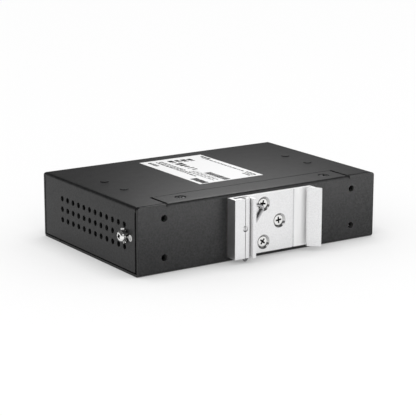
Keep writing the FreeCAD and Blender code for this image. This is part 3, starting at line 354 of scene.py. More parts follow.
# Flap screws: black countersunk machine screws with a crossed recess, driven down into the ledge.
# They are turned steel with a black oxide, so they shine a little more than the coat round them.
SCREW_NECK = 1.35 * MM
SCREW_ROOT = 1.12 * MM
SCREW_CONE = 1.0 * MM
THREAD_PITCH = 0.5 * MM
SCREW_SIDES = 48
FLAP_SINK = 0.15 * MM
FLAP_CROWN = 1.9 * MM
FLAP_SCREW_LENGTH = 4.0 * MM
FLAP_SCREW_X = (-35.3 * MM, 38.0 * MM)
FLAP_SCREW_Y = -32.2 * MM
FLAP_TURNS = (12, 55)
SUNK_RIM = ((0.09, 0.0), (0.02, 0.03), (0.0, 0.1), (0.08, 0.22))
SUNK_BRIGHT = 2
SUNK_RECESS = ((1.42, 0.37, 0.0), (1.2, 0.32, 0.4), (0.55, 0.22, 0.85))
RECESS_CORE = 0.18


def thread_rings(top, length):
    """Rings of a thread's ridges and roots down a shank."""
    rings = []
    for turn in range(round(length / THREAD_PITCH)):
        rings.append((SCREW_NECK, top - (turn + 0.25) * THREAD_PITCH))
        rings.append((SCREW_ROOT, top - (turn + 0.75) * THREAD_PITCH))
    return rings + [(SCREW_ROOT, top - length)]


def add_ring(shape, radius, height, sides):
    step = 2 * math.pi / sides
    return [shape.verts.new((radius * math.cos(i * step), radius * math.sin(i * step), height))
            for i in range(sides)]


def bridge(shape, upper, lower):
    count = len(upper)
    for i in range(count):
        j = (i + 1) % count
        shape.faces.new((upper[i], lower[i], lower[j], upper[j]))


def cross_loop(shape, arm, web, depth, top):
    """A loop of a crossed recess by its arms' length, half their width and its depth, in millimetres."""
    core = web + RECESS_CORE
    quarter = ((arm, -web), (arm, web), (core, web), (web, core))
    turns = [Matrix.Rotation(math.radians(90 * i), 2) for i in range(4)]
    spots = [turn @ Vector(spot) for turn in turns for spot in quarter]
    return [shape.verts.new((x * MM, y * MM, top - depth * MM)) for x, y in spots]


def add_cross_screw(shape, rings, bright_rings, recess, matrix):
    """A turned screw from its crown to its tip; its crossed recess and what lies lower take the second
    material, painted dark as shade.
    """
    before = set(shape.verts)
    circles = [add_ring(shape, radius, height, SCREW_SIDES) for radius, height in rings]
    turned = set(shape.faces)
    for index, (upper, lower) in enumerate(zip(circles, circles[1:])):
        bridge(shape, upper, lower)
        if index < bright_rings:
            turned = set(shape.faces)
    shape.faces.new(circles[-1])
    crosses = [cross_loop(shape, *level, rings[0][1]) for level in recess]
    for upper, lower in zip(crosses, crosses[1:]):
        bridge(shape, upper, lower)
    shape.faces.new(crosses[-1])
    for face in shape.faces:
        if face not in turned:
            face.material_index = 1
    crown = []
    for loop in (circles[0], crosses[0]):
        crown += [edge for edge in shape.edges if edge.verts[0] in loop and edge.verts[1] in loop]
    bmesh.ops.triangle_fill(shape, use_beauty=True, edges=crown)
    bmesh.ops.transform(shape, matrix=matrix, verts=[v for v in shape.verts if v not in before])


def countersunk_rings(length, crown):
    rim = [(crown - inset * MM, -drop * MM) for inset, drop in SUNK_RIM]
    return rim + [(SCREW_NECK, -SCREW_CONE)] + thread_rings(-SCREW_CONE, length - SCREW_CONE)


def black_oxide():
    made, tree, shader = new_finish("black_oxide", Metallic=0.6)
    grain = place_group(tree, FINE_GRAIN, Grain_mm=0.25, Patch_mm=2.0)
    tint(tree, shader, grain.outputs["Patch"], (0.012, 0.012, 0.013, 1), (0.03, 0.03, 0.032, 1))
    spread(tree, grain.outputs["Height"], shader.inputs["Roughness"], 0.28, 0.45)
    emboss(tree, shader, grain.outputs["Height"], 0.2, 0.02 * MM)
    return made


# Painted shade: a near black for deep recesses, screw shanks, the spring slot and the standoffs' sides,
# standing for the shade in them.
def recess_painted_shade():
    made, tree, shader = new_finish("recess_painted_shade", Specular_IOR_Level=0.2)
    grain = place_group(tree, FINE_GRAIN, Grain_mm=0.2, Patch_mm=1.0)
    tint(tree, shader, grain.outputs["Patch"], (0.006, 0.006, 0.006, 1), (0.016, 0.016, 0.016, 1))
    spread(tree, grain.outputs["Height"], shader.inputs["Roughness"], 0.5, 0.7)
    return made


RECESS_PAINTED_SHADE = recess_painted_shade()
top_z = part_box("chassis_shell")[1].z
flap_shape = bmesh.new()
flap_rings = countersunk_rings(FLAP_SCREW_LENGTH, FLAP_CROWN)
for x, degrees in zip(FLAP_SCREW_X, FLAP_TURNS):
    seat = Vector((x, FLAP_SCREW_Y, top_z - FLAP_SINK))
    turn = Matrix.Translation(seat) @ Matrix.Rotation(math.radians(degrees), 4, "Z")
    add_cross_screw(flap_shape, flap_rings, SUNK_BRIGHT, SUNK_RECESS, turn)
flap_screws = finish_mesh(flap_shape, "flap_cross_screws")
stand_in(flap_screws, "flap_screws", "black_steel", black_oxide(), RECESS_PAINTED_SHADE)


# Rail clip: a length of extruded aluminium, sawn off, with a hook on one side and a sprung block
# on the other. It is blasted and clear anodised, so it is pale with a fine even grain.
CLIP_EDGE = 0.09 * MM
CLIP_DARK = (0.83, 0.83, 0.835, 1)
CLIP_PALE = (0.95, 0.95, 0.955, 1)
CLIP_SCREWS = ((0.0, 6.6, 52), (0.0, 22.9, -12), (8.1, 14.75, 6))
SINK_RADIUS = 3.2 * MM
SINK_SLOPE = (-0.85, -0.4)
END_SLOPE = 0.9
HOOK_STRIP = (15.75, 23.6)
PLATE_FACE = (-41.45, -41.2)
LIP_GROOVE = (-10.0, -9.15)
WIRE_SLIT = (-12.2, -11.8)
SPRING_SLOT = (-15.7, -7.65, -42.85, -41.35)
STAKE_SPOT = Vector((-12.0, -45.4, 14.75)) * MM
STAKE_RADIUS = 1.27 * MM
STAKE_FLAT = 0.95 * MM
STAKE_DEPTH = 0.3 * MM
STAKE_GROOVE = 0.55 * MM
STAKE_REACH = 2 * MM
TO_BACK = Matrix.Rotation(math.radians(90), 4, "X")
STREAK_SHARE = 0.15
SAWN = 1
DRILLED_PAINTED_SHADE = 2
SLOT_PAINTED_LIGHT = 3
SLOT_PAINTED_SHADE = 4


def draw_group():
    """Fine lines drawn out along one direction, by how the place is stretched."""
    tree, given, put_out = new_group(
        "draw_lines", {"Stretch": (1.0, 1.0, 1.0), "Line mm": 0.2}, ("Height", "Streak"))
    place = add_node(tree, "ShaderNodeTexCoord").outputs["Object"]
    drawn = add_node(tree, "ShaderNodeVectorMath", {0: place, 1: given.outputs["Stretch"]},
                     operation="MULTIPLY").outputs[0]
    scale = cells_per_metre(tree, given.outputs["Line mm"])
    wide = add_node(tree, "ShaderNodeMath", {0: scale, 1: STREAK_SHARE}, operation="MULTIPLY")
    tree.links.new(noise(tree, drawn, scale, 3.0), put_out.inputs["Height"])
    tree.links.new(noise(tree, drawn, wide.outputs[0], 2.0), put_out.inputs["Streak"])
    return tree


DRAW_LINES = draw_group()


def drawn_metal(name, stretch, line, dark, pale, rough):
    made, tree, shader = new_finish(name, Metallic=1.0)
    lines = place_group(tree, DRAW_LINES, Stretch=stretch, Line_mm=line)
    tint(tree, shader, lines.outputs["Streak"], dark, pale)
    spread(tree, lines.outputs["Height"], shader.inputs["Roughness"], rough * 0.85, rough * 1.15)
    emboss(tree, shader, lines.outputs["Height"], 0.12, 0.01 * MM)
    return made


def blasted_metal():
    made, tree, shader = new_finish("blasted_aluminium", Metallic=1.0)
    grain = place_group(tree, FINE_GRAIN, Grain_mm=0.45, Patch_mm=3.0)
    tint(tree, shader, grain.outputs["Height"], CLIP_DARK, CLIP_PALE)
    # Painted shade, slight, in the clip's crevices.
    paint_shade_in_hollows(tree, shader, 0.3, 0.85)
    spread(tree, grain.outputs["Patch"], shader.inputs["Roughness"], 0.33, 0.43)
    emboss(tree, shader, grain.outputs["Height"], 0.2, 0.02 * MM)
    return made


def sawn_metal():
    made, tree, shader = new_finish("sawn_aluminium", Metallic=0.3)
    lines = place_group(tree, DRAW_LINES, Stretch=(0.1, 1.0, 1.0), Line_mm=0.25)
    tint(tree, shader, lines.outputs["Streak"], (0.82, 0.82, 0.82, 1), (0.92, 0.92, 0.92, 1))
    # Painted shade: the sawn ends darken strongly round the slots and bores that open on them.
    paint_shade_in_hollows(tree, shader, 0.8, 0.2)
    spread(tree, lines.outputs["Height"], shader.inputs["Roughness"], 0.4, 0.55)
    emboss(tree, shader, lines.outputs["Height"], 0.15, 0.02 * MM)
    return made


# Drilled countersinks are shinier than the blasted faces; their darker colour is painted shade round the
# screw heads.
def drilled_metal_painted_shade():
    made, tree, shader = new_finish("drilled_aluminium_painted_shade", Metallic=1.0)
    grain = place_group(tree, FINE_GRAIN, Grain_mm=0.2, Patch_mm=0.8)
    tint(tree, shader, grain.outputs["Patch"], (0.48, 0.48, 0.48, 1), (0.6, 0.6, 0.6, 1))
    spread(tree, grain.outputs["Height"], shader.inputs["Roughness"], 0.12, 0.2)
    return made


# Painted light: a paler, partly diffuse copy of the clip metal brightens the strip, groove and slit;
# painted shade darkens their hollows.
def slot_painted_light_and_shade():
    made, tree, shader = new_finish("slot_painted_light_and_shade", Metallic=0.3)
    lines = place_group(tree, DRAW_LINES, Stretch=(1.0, 1.0, 0.1), Line_mm=0.25)
    tint(tree, shader, lines.outputs["Streak"], (0.9, 0.9, 0.9, 1), (0.96, 0.96, 0.96, 1))
    paint_shade_in_hollows(tree, shader, 1.2, 0.4)
    spread(tree, lines.outputs["Height"], shader.inputs["Roughness"], 0.45, 0.55)
    return made


def in_slot(spot):
    """The strip before the nose, the groove at the lip and the slit, which take a paler copy of the clip
    metal: painted light against their shade.
    """
    x = spot.x / MM
    y = spot.y / MM
    on_strip = HOOK_STRIP[0] < x < HOOK_STRIP[1] and PLATE_FACE[0] < y < PLATE_FACE[1]
    return on_strip or LIP_GROOVE[0] < x < LIP_GROOVE[1] or WIRE_SLIT[0] < x < WIRE_SLIT[1]


def in_spring_slot(spot):
    """The slot under the block round the wire, which is painted dark as shade."""
    low_x, high_x, low_y, high_y = SPRING_SLOT
    return low_x < spot.x / MM < high_x and low_y < spot.y / MM < high_y


def stake_cutter():
    """The punch that stakes the wire: it leaves a flat with a ring groove round it."""
    shape = bmesh.new()
    rings = ((STAKE_RADIUS, STAKE_REACH), (STAKE_RADIUS, -STAKE_GROOVE),
             (STAKE_FLAT, -STAKE_GROOVE), (STAKE_FLAT, -STAKE_DEPTH))
    circles = [add_ring(shape, radius, height, SCREW_SIDES) for radius, height in rings]
    for upper, lower in zip(circles, circles[1:]):
        bridge(shape, upper, lower)
    shape.faces.new(circles[0])
    shape.faces.new(circles[-1])
    bmesh.ops.transform(shape, verts=shape.verts, matrix=Matrix.Translation(STAKE_SPOT) @ TO_BACK)
    return finish_mesh(shape, "stake_punch")


clip = fine_copy("din_clip", "rail_clip_profile", CLIP_EDGE, stake_cutter())
# Sawn ends; a paler copy in the slots as painted light; the slot under the block and the countersinks
# darker as painted shade.
for face in clip.data.polygons:
    if abs(face.normal.z) > END_SLOPE:
        face.material_index = SAWN
    elif in_slot(face.center):
        face.material_index = SLOT_PAINTED_LIGHT
    elif in_spring_slot(face.center):
        face.material_index = SLOT_PAINTED_SHADE
    for x, z, degrees in CLIP_SCREWS:
        across = math.hypot(face.center.x - x * MM, face.center.z - z * MM)
        if across < SINK_RADIUS and SINK_SLOPE[0] < face.normal.y < SINK_SLOPE[1]:
            face.material_index = DRILLED_PAINTED_SHADE
stand_in(clip, "din_clip", "clip_metal",
         blasted_metal(), sawn_metal(), drilled_metal_painted_shade(), slot_painted_light_and_shade(), RECESS_PAINTED_SHADE)


# Clip screws: three zinc plated countersunk screws that hold the clip on the back panel.
# Their heads lie a little below the plate, so a dark crescent shows round each, deepened by painted shade
# on the countersinks.
CLIP_SINK = 0.7 * MM
CLIP_CROWN = 2.21 * MM
CLIP_PLATE = 1.8 * MM
CLIP_SCREW_LENGTH = 6.0 * MM


def zinc_plate(name, reach, dark):
    made, tree, shader = new_finish(name, Metallic=1.0)
    grain = place_group(tree, FINE_GRAIN, Grain_mm=0.3, Patch_mm=1.6)
    tint(tree, shader, grain.outputs["Patch"], (0.78, 0.78, 0.77, 1), (0.92, 0.92, 0.91, 1))
    # Painted shade in the hollows, by how far they reach and how dark they go.
    paint_shade_in_hollows(tree, shader, reach, dark)
    spread(tree, grain.outputs["Height"], shader.inputs["Roughness"], 0.14, 0.24)
    emboss(tree, shader, grain.outputs["Height"], 0.1, 0.015 * MM)
    return made


ZINC = zinc_plate("zinc_plate", 0.5, 0.25)
clip_shape = bmesh.new()
clip_rings = countersunk_rings(CLIP_SCREW_LENGTH, CLIP_CROWN)
for x, z, degrees in CLIP_SCREWS:
    seat = Vector((x * MM, panel_y - CLIP_PLATE + CLIP_SINK, z * MM))
    turn = Matrix.Translation(seat) @ TO_BACK @ Matrix.Rotation(math.radians(degrees), 4, "Z")
    add_cross_screw(clip_shape, clip_rings, SUNK_BRIGHT, SUNK_RECESS, turn)
clip_screws = finish_mesh(clip_shape, "clip_cross_screws")
stand_in(clip_screws, "clip_screws", "plated_steel", ZINC, RECESS_PAINTED_SHADE)


# Spring wire: hard steel wire, straight in the bore of the block, turned under it and bowed in the
# slot, where it presses the rail against the hook. It is staked through the slit of the block.
WIRE_RADIUS = 0.6 * MM
WIRE_LEG_TOP = Vector((-12.0, -44.0, 23.35)) * MM
WIRE_LEG_LOW = Vector((-12.0, -44.0, 2.75)) * MM
WIRE_FOOT = Vector((-8.6, -42.0, 2.75)) * MM
WIRE_KNEE = Vector((-8.6, -42.0, 10.45)) * MM
WIRE_APEX = Vector((-0.15, -42.0, 22.05)) * MM
WIRE_TAIL = Vector((-8.6, -42.0, 24.35)) * MM
WIRE_KNEE_RADIUS = 9.0 * MM
WIRE_APEX_RADIUS = 1.3 * MM
ARC_STEPS = 14


def rounded_corner(before, corner, after, radius):
    """Points on the arc that rounds a corner of a bent wire."""
    a = (before - corner).normalized()
    b = (after - corner).normalized()
    middle = (a + b).normalized()
    half = a.angle(b) / 2
    centre = corner + middle * (radius / math.sin(half))
    sweep = math.pi / 2 - half
    side = (a - b).normalized()
    turns = [sweep * (1 - 2 * step / ARC_STEPS) for step in range(ARC_STEPS + 1)]
    return [centre - middle * radius * math.cos(t) + side * radius * math.sin(t) for t in turns]


def wire_turn(start, end):
    """Points on the half circle that hangs below two points."""
    middle = (start + end) / 2
    arm = (start - end) / 2
    down = Vector((0, 0, -arm.length))
    turns = [math.pi * step / ARC_STEPS for step in range(ARC_STEPS + 1)]
    return [middle + arm * math.cos(t) + down * math.sin(t) for t in turns]


wire_path = [WIRE_LEG_TOP, *wire_turn(WIRE_LEG_LOW, WIRE_FOOT),
             *rounded_corner(WIRE_FOOT, WIRE_KNEE, WIRE_APEX, WIRE_KNEE_RADIUS),
             *rounded_corner(WIRE_KNEE, WIRE_APEX, WIRE_TAIL, WIRE_APEX_RADIUS), WIRE_TAIL]
wire_curve = bpy.data.curves.new("bent_spring_wire", "CURVE")
wire_curve.dimensions = "3D"
wire_curve.bevel_depth = WIRE_RADIUS
wire_curve.bevel_resolution = 4
wire_curve.use_fill_caps = True
wire_spline = wire_curve.splines.new("POLY")
wire_spline.points.add(len(wire_path) - 1)
for spline_point, spot in zip(wire_spline.points, wire_path):
    spline_point.co = (*spot, 1)


def spring_steel():
    made, tree, shader = new_finish("drawn_spring_steel", Metallic=1.0)
    lines = place_group(tree, DRAW_LINES, Stretch=(1.0, 1.0, 0.1), Line_mm=0.15)
    tint(tree, shader, lines.outputs["Streak"], (0.42, 0.42, 0.43, 1), (0.6, 0.6, 0.61, 1))
    # Painted shade: the wire is darkened strongly where it runs close to the plate and the block.
    paint_shade_in_hollows(tree, shader, 3.0, 0.02)
    spread(tree, lines.outputs["Height"], shader.inputs["Roughness"], 0.1, 0.18)
    return made


wire = link_piece("bent_spring_wire", wire_curve)
stand_in(wire, "clip_spring_wire", "spring_steel", spring_steel())


# Earth screw: a zinc plated pan head screw with a toothed washer, for the earth lead.
# The washer's twelve teeth are bent out of its plane, so that they bite through the coat.
EARTH_SPOT = Vector((-60.0, -29.15, 15.42)) * MM
EARTH_SEAT = 0.7 * MM
EARTH_HEAD = 1.9 * MM
PAN_RADIUS = 2.35 * MM
EARTH_LENGTH = 8.0 * MM
EARTH_TURN = 24
PAN_DOME = ((1.0, 0.0), (0.66, 0.14), (0.33, 0.42), (0.1, 0.8), (0.0, 1.2))
PAN_BRIGHT = 9
PAN_RECESS = ((1.05, 0.42, 0.0), (0.9, 0.36, 0.4), (0.45, 0.24, 0.8))
WASHER_TEETH = 12
WASHER_HALF = 0.17 * MM
WASHER_BORE = 1.5 * MM
WASHER_BAND = 2.5 * MM
WASHER_TIP = 3.1 * MM
TOOTH_ROOT = 2.35 * MM
TOOTH_HALF = 0.42 * MM
TOOTH_TWIST = 36
TO_LEFT = Matrix.Rotation(math.radians(-90), 4, "Y")
CORNERS = ((-1, -1), (1, -1), (1, 1), (-1, 1))


def pan_rings():
    dome = [(PAN_RADIUS - inset * MM, EARTH_HEAD - drop * MM) for inset, drop in PAN_DOME]
    return dome + [(PAN_RADIUS, 0), (SCREW_NECK, 0)] + thread_rings(0, EARTH_LENGTH)


# Painted shade: the earth screw and washer are darkened strongly wherever they lie close to each other or
# the wall.
EARTH_ZINC = zinc_plate("zinc_painted_shade", 2.2, 0.03)
earth_shape = bmesh.new()
earth_seat = Matrix.Translation(EARTH_SPOT - Vector((EARTH_SEAT, 0, 0)))
earth_place = earth_seat @ TO_LEFT @ Matrix.Rotation(math.radians(EARTH_TURN), 4, "Z")
add_cross_screw(earth_shape, pan_rings(), PAN_BRIGHT, PAN_RECESS, earth_place)
earth_screw = finish_mesh(earth_shape, "earth_pan_screw")
stand_in(earth_screw, "ground_screw", "plated_steel", EARTH_ZINC, RECESS_PAINTED_SHADE)

washer_shape = bmesh.new()
flats = []
for radius, height in ((WASHER_BORE, WASHER_HALF), (WASHER_BAND, WASHER_HALF),
                       (WASHER_BAND, -WASHER_HALF), (WASHER_BORE, -WASHER_HALF)):
    flats.append(add_ring(washer_shape, radius, height, SCREW_SIDES))
for upper, lower in zip(flats, flats[1:] + flats[:1]):
    bridge(washer_shape, upper, lower)
for tooth in range(WASHER_TEETH):
    outward = Matrix.Rotation(2 * math.pi * tooth / WASHER_TEETH, 4, "Z")
    twist = Matrix.Rotation(math.radians(TOOTH_TWIST), 4, "X")
    root = Matrix.Translation((TOOTH_ROOT, 0, 0))
    tip = Matrix.Translation((WASHER_TIP, 0, 0))
    ends = []
    for matrix in (outward @ root, outward @ tip @ twist):
        ends.append([washer_shape.verts.new(matrix @ Vector((0, y * TOOTH_HALF, z * WASHER_HALF)))
                     for y, z in CORNERS])
    bridge(washer_shape, *ends)
    washer_shape.faces.new(ends[0])
    washer_shape.faces.new(ends[1])
washer_middle = Matrix.Translation(EARTH_SPOT - Vector((EARTH_SEAT / 2, 0, 0)))
bmesh.ops.transform(washer_shape, matrix=washer_middle @ TO_LEFT, verts=washer_shape.verts)
washer = finish_mesh(washer_shape, "earth_tooth_washer")
stand_in(washer, "ground_lock_washer", "plated_steel", EARTH_ZINC)


def dress(node, material):
    """A solid that keeps its own form takes a finish."""
    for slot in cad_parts[node].material_slots:
        slot.material = material


dress("ground_nut", ZINC)


# Earth sign: a small pale disc printed on the left side beside the earth screw.
# The sign on it is the usual one, a stem over three bars, in dark ink.
SIGN_SPOT = Vector((-60.0, -33.75, 15.25)) * MM
SIGN_RADIUS = 1.35 * MM
INK_LIFT = 0.02 * MM
SIGN_BARS = ((0.5, 0.12, 0.75), (-0.1, 0.8, 0.14), (-0.45, 0.54, 0.14), (-0.8, 0.28, 0.14))


def print_ink(name, colour, rough):
    made, tree, shader = new_finish(name, Specular_IOR_Level=0.05)
    grain = place_group(tree, FINE_GRAIN, Grain_mm=0.2, Patch_mm=2.5)
    pale = tuple(min(1.0, c * 1.12) for c in colour[:3]) + (1,)
    tint(tree, shader, grain.outputs["Patch"], colour, pale)
    spread(tree, grain.outputs["Height"], shader.inputs["Roughness"], rough, rough + 0.12)
    return made


WHITE_INK = print_ink("white_ink", (0.56, 0.56, 0.55, 1), 0.5)
DARK_INK = print_ink("dark_ink", (0.014, 0.014, 0.015, 1), 0.45)


def add_patch(shape, corners, ink):
    face = shape.faces.new([shape.verts.new(corner) for corner in corners])
    face.material_index = ink


def printed(shape, name, slot, *inks):
    """A print of flat fields that rides on the body."""
    mesh = bpy.data.meshes.new(name)
    shape.to_mesh(mesh)
    shape.free()
    piece = link_piece(name, mesh)
    for ink in inks:
        mesh.materials.append(ink)
    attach(piece, "root")


sign_shape = bmesh.new()
disc = [SIGN_SPOT + Vector((-INK_LIFT, SIGN_RADIUS * math.cos(t), SIGN_RADIUS * math.sin(t)))
        for t in [-2 * math.pi * i / SCREW_SIDES for i in range(SCREW_SIDES)]]
add_patch(sign_shape, disc, 0)
for z, half_wide, tall in SIGN_BARS:
    middle = SIGN_SPOT + Vector((-2 * INK_LIFT, 0, z * MM))
    bar = [middle + Vector((0, -a * half_wide * MM, b * tall * MM / 2)) for a, b in CORNERS]
    add_patch(sign_shape, bar, 1)
printed(sign_shape, "earth_sign", "label_film", WHITE_INK, DARK_INK)


# Label: a white polyester film stuck on the top. Its print is only fields: bars that stand for
# lines of words, a bar code, a ruled table and a row of plain shapes.
LABEL_WHITE = (0.97, 0.97, 0.97, 1)
LABEL_SHADE = (0.95, 0.95, 0.95, 1)
WORD_LENGTHS = (0.9, 3.4)
WORD_GAP = 0.55
WORD_LEAST = 0.6
WORD_LINES = (
    (-12.8, 28.8, 21.0, 1.8, 0),
    (-9.6, 28.0, -4.5, 0.9, 0),
    (-8.2, 28.0, 2.0, 0.7, 1),
    (-7.0, 28.0, 8.0, 0.7, 1),
    (14.6, 28.6, 21.0, 1.1, 0),
    (13.2, 26.0, -7.5, 0.8, 0),
    (13.6, -9.0, -16.2, 1.1, 0),
    (10.6, -10.2, -16.4, 0.8, 1),
    (11.9, -10.2, -16.4, 0.8, 1),
)
RULE = 0.12
TABLE_ROWS = 5
TABLE_COLUMNS = 7
TABLE_PITCH = 3.0
TABLE_WORDS_X = (-7.4, -5.5)
CODE_X = -1.6
CODE_TALL = 3.2
CODE_START = -1.0
CODE_END = -16.6
CODE_BARS = (0.32, 0.48, 0.64)
CODE_GAPS = (0.16, 0.2, 0.32)
SHAPE_SIZES = ((3.8, 2.5), (3.2, 2.3), (2.6, 1.5), (3.4, 1.1), (2.6, 1.4))
SHAPE_PITCH = 3.1
BLOCK_WIDTHS = (2.5, 2.0, 2.6, 2.2)


def label_film():
    made, tree, shader = new_finish("white_label_film", Specular_IOR_Level=0.4)
    grain = place_group(tree, FINE_GRAIN, Grain_mm=0.5, Patch_mm=14.0)
    tint(tree, shader, grain.outputs["Patch"], LABEL_SHADE, LABEL_WHITE)
    spread(tree, grain.outputs["Height"], shader.inputs["Roughness"], 0.38, 0.5)
    emboss(tree, shader, grain.outputs["Height"], 0.05, 0.01 * MM)
    return made


dress("rating_label", label_film())
label_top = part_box("rating_label")[1].z
label_shape = bmesh.new()
words = random.Random(4)


def field(x, y, wide, tall, ink=0):
    """A printed field by its middle, across (x) and along (y) the label, in millimetres."""
    middle = Vector((x * MM, y * MM, label_top + INK_LIFT))
    corners = [middle + Vector((a * wide * MM / 2, b * tall * MM / 2, 0)) for a, b in CORNERS]
    add_patch(label_shape, corners, ink)


def word_line(x, start, end, height, ink=0):
    """Bars of word length along the label, from start down to end."""
    y = start
    while y > end + WORD_LEAST:
        length = min(words.uniform(*WORD_LENGTHS), y - end)
        field(x, y - length / 2, height, length, ink)
        y -= length + WORD_GAP


for word_row in WORD_LINES:
    word_line(*word_row)
# The ruled table, with two lines of words in each column
for row in range(TABLE_ROWS):
    field(-7.9 + row * 0.95, -4.3, RULE, 18.0, 1)
for column in range(TABLE_COLUMNS):
    field(-6.0, 4.7 - column * TABLE_PITCH, 3.8, RULE, 1)
    for x in TABLE_WORDS_X:
        word_line(x, 4.3 - column * TABLE_PITCH, 2.4 - column * TABLE_PITCH, 0.4, 1)
# The bar code
code_y = CODE_START
while code_y > CODE_END:
    bar = words.choice(CODE_BARS)
    field(CODE_X, code_y - bar / 2, CODE_TALL, bar)
    code_y -= bar + words.choice(CODE_GAPS)
# Plain shapes: a row of tall blocks, a row of small ones, and blocks over a foot
for index in range(5):
    field(-13.0, -8.4 - index * 2.0, 3.4 - 0.4 * (index % 2), 1.75)
for index, (wide, tall) in enumerate(SHAPE_SIZES):
    field(-2.4, 20.0 - index * SHAPE_PITCH, wide, tall)
for index, wide in enumerate(BLOCK_WIDTHS):
    x = -3.0 + index * SHAPE_PITCH
    field(x, 26.2 - 0.3 * index, wide, 3.0)
    field(x, 23.6 - 0.3 * index, wide, 1.0, index % 2)
GREY_INK = print_ink("grey_ink", (0.07, 0.07, 0.07, 1), 0.45)
printed(label_shape, "label_print", "label_film", DARK_INK, GREY_INK)


# Standoffs: hexagonal steel posts clinched into the top before it was coated.
# Their heads show as small coated rounds, a little proud of the sheet, with painted shade on their sides
# round the rims.
STANDOFF_EDGE = 0.06 * MM
STANDOFF_SIDE = 0.5

standoffs = fine_copy("board_standoffs", "clinched_standoffs", STANDOFF_EDGE)
# Their sides take the near black as painted shade round the heads.
for face in standoffs.data.polygons:
    if abs(face.normal.z) < STANDOFF_SIDE:
        face.material_index = 1
stand_in(standoffs, "board_standoffs", "black_steel", COAT, RECESS_PAINTED_SHADE)


# Circuit board: green glass laminate on the standoffs, held by four plated screws from below.
# Its mask shows pale traces and pads in straight runs.
MASK_DARK = (0.008, 0.075, 0.03, 1)
MASK_PALE = (0.01, 0.09, 0.036, 1)
TRACE_GREEN = (0.03, 0.17, 0.07, 1)


def board_mask():
    made, tree, shader = new_finish("green_board_mask", Roughness=0.3)
    place = add_node(tree, "ShaderNodeTexCoord").outputs["Object"]
    traces = add_node(tree, "ShaderNodeTexBrick", {
        "Vector": place, "Scale": 260.0, "Mortar Size": 0.035,
        "Color1": MASK_DARK, "Color2": MASK_PALE, "Mortar": TRACE_GREEN})
    tree.links.new(traces.outputs["Color"], shader.inputs["Base Color"])
    emboss(tree, shader, traces.outputs["Fac"], 0.2, 0.03 * MM)
    return made


dress("circuit_board", board_mask())
dress("board_screws", ZINC)


# Network sockets: black glass-filled mouldings with gold plated spring contacts and clear lamp
# lenses, each row wrapped in a thin tinned shield and soldered under the board.
SOCKET_EDGE = 0.1 * MM


def moulded_plastic(name, colour, rough, grain_mm):
    made, tree, shader = new_finish(name)
    grain = place_group(tree, FINE_GRAIN, Grain_mm=grain_mm, Patch_mm=6.0)
    pale = tuple(min(1.0, c * 1.35) for c in colour[:3]) + (1,)
    tint(tree, shader, grain.outputs["Patch"], colour, pale)
    spread(tree, grain.outputs["Height"], shader.inputs["Roughness"], rough - 0.06, rough + 0.06)
    emboss(tree, shader, grain.outputs["Height"], 0.15, 0.02 * MM)
    return made


def lens_plastic():
    made, tree, shader = new_finish("clear_lens", Roughness=0.15, Transmission_Weight=0.6, IOR=1.49)
    grain = place_group(tree, FINE_GRAIN, Grain_mm=0.3, Patch_mm=1.2)
    tint(tree, shader, grain.outputs["Patch"], (0.7, 0.74, 0.68, 1), (0.82, 0.86, 0.8, 1))
    emboss(tree, shader, grain.outputs["Height"], 0.1, 0.02 * MM)
    return made


SOCKET_PLASTIC = moulded_plastic("socket_moulding", (0.012, 0.012, 0.013, 1), 0.42, 0.25)
TINNED = drawn_metal(
    "tinned_shield", (1.0, 0.05, 1.0), 0.25, (0.58, 0.58, 0.57, 1), (0.74, 0.74, 0.73, 1), 0.3)
GOLD = drawn_metal(
    "gold_plate", (1.0, 0.1, 1.0), 0.1, (0.78, 0.5, 0.17, 1), (0.86, 0.6, 0.24, 1), 0.22)
LENS = lens_plastic()
for row in ("in_jack", "out_jack"):
    moulding = fine_copy(row + "_housing", row + "_moulding", SOCKET_EDGE)
    stand_in(moulding, row + "_housing", "black_plastic", SOCKET_PLASTIC)
    dress(row + "_shield", TINNED)
    dress(row + "_contacts", GOLD)
    dress(row + "_lamp_lenses", LENS)
dress("status_lamp", SOCKET_PLASTIC)
dress("lamp_light_pipe", LENS)


# Parts on the board: chips and power parts in black moulding, the switch under a finned sink.
# They are soldered under the board and show only through the vents.
CHIP_PLASTIC = moulded_plastic("chip_moulding", (0.02, 0.02, 0.021, 1), 0.55, 0.12)
for node in ("switch_chip", "power_source_chip", "powered_device_chip", "port_transistors",
             "bridge_rectifiers", "line_transformers", "capacitor_bases", "transformer_bobbin"):
    dress(node, CHIP_PLASTIC)
dress("power_inductors", moulded_plastic("pressed_iron", (0.06, 0.058, 0.055, 1), 0.6, 0.3))
dress("transformer_core", moulded_plastic("ferrite_core", (0.035, 0.034, 0.036, 1), 0.5, 0.2))
dress("heat_pad", moulded_plastic("grey_heat_pad", (0.3, 0.31, 0.33, 1), 0.7, 0.4))
SINK_METAL = drawn_metal(
    "black_sink", (1.0, 0.03, 1.0), 0.2, (0.05, 0.05, 0.055, 1), (0.09, 0.09, 0.095, 1), 0.45)
dress("chip_heat_sink", SINK_METAL)
COPPER = drawn_metal(
    "enamelled_copper", (1.0, 1.0, 6.0), 0.5, (0.4, 0.13, 0.05, 1), (0.62, 0.24, 0.1, 1), 0.3)
dress("transformer_winding", COPPER)
CAN_METAL = drawn_metal(
    "rolled_can", (1.0, 1.0, 0.05), 0.3, (0.55, 0.55, 0.56, 1), (0.72, 0.72, 0.73, 1), 0.32)
dress("capacitor_cans", CAN_METAL)
dress("crystal", CAN_METAL)


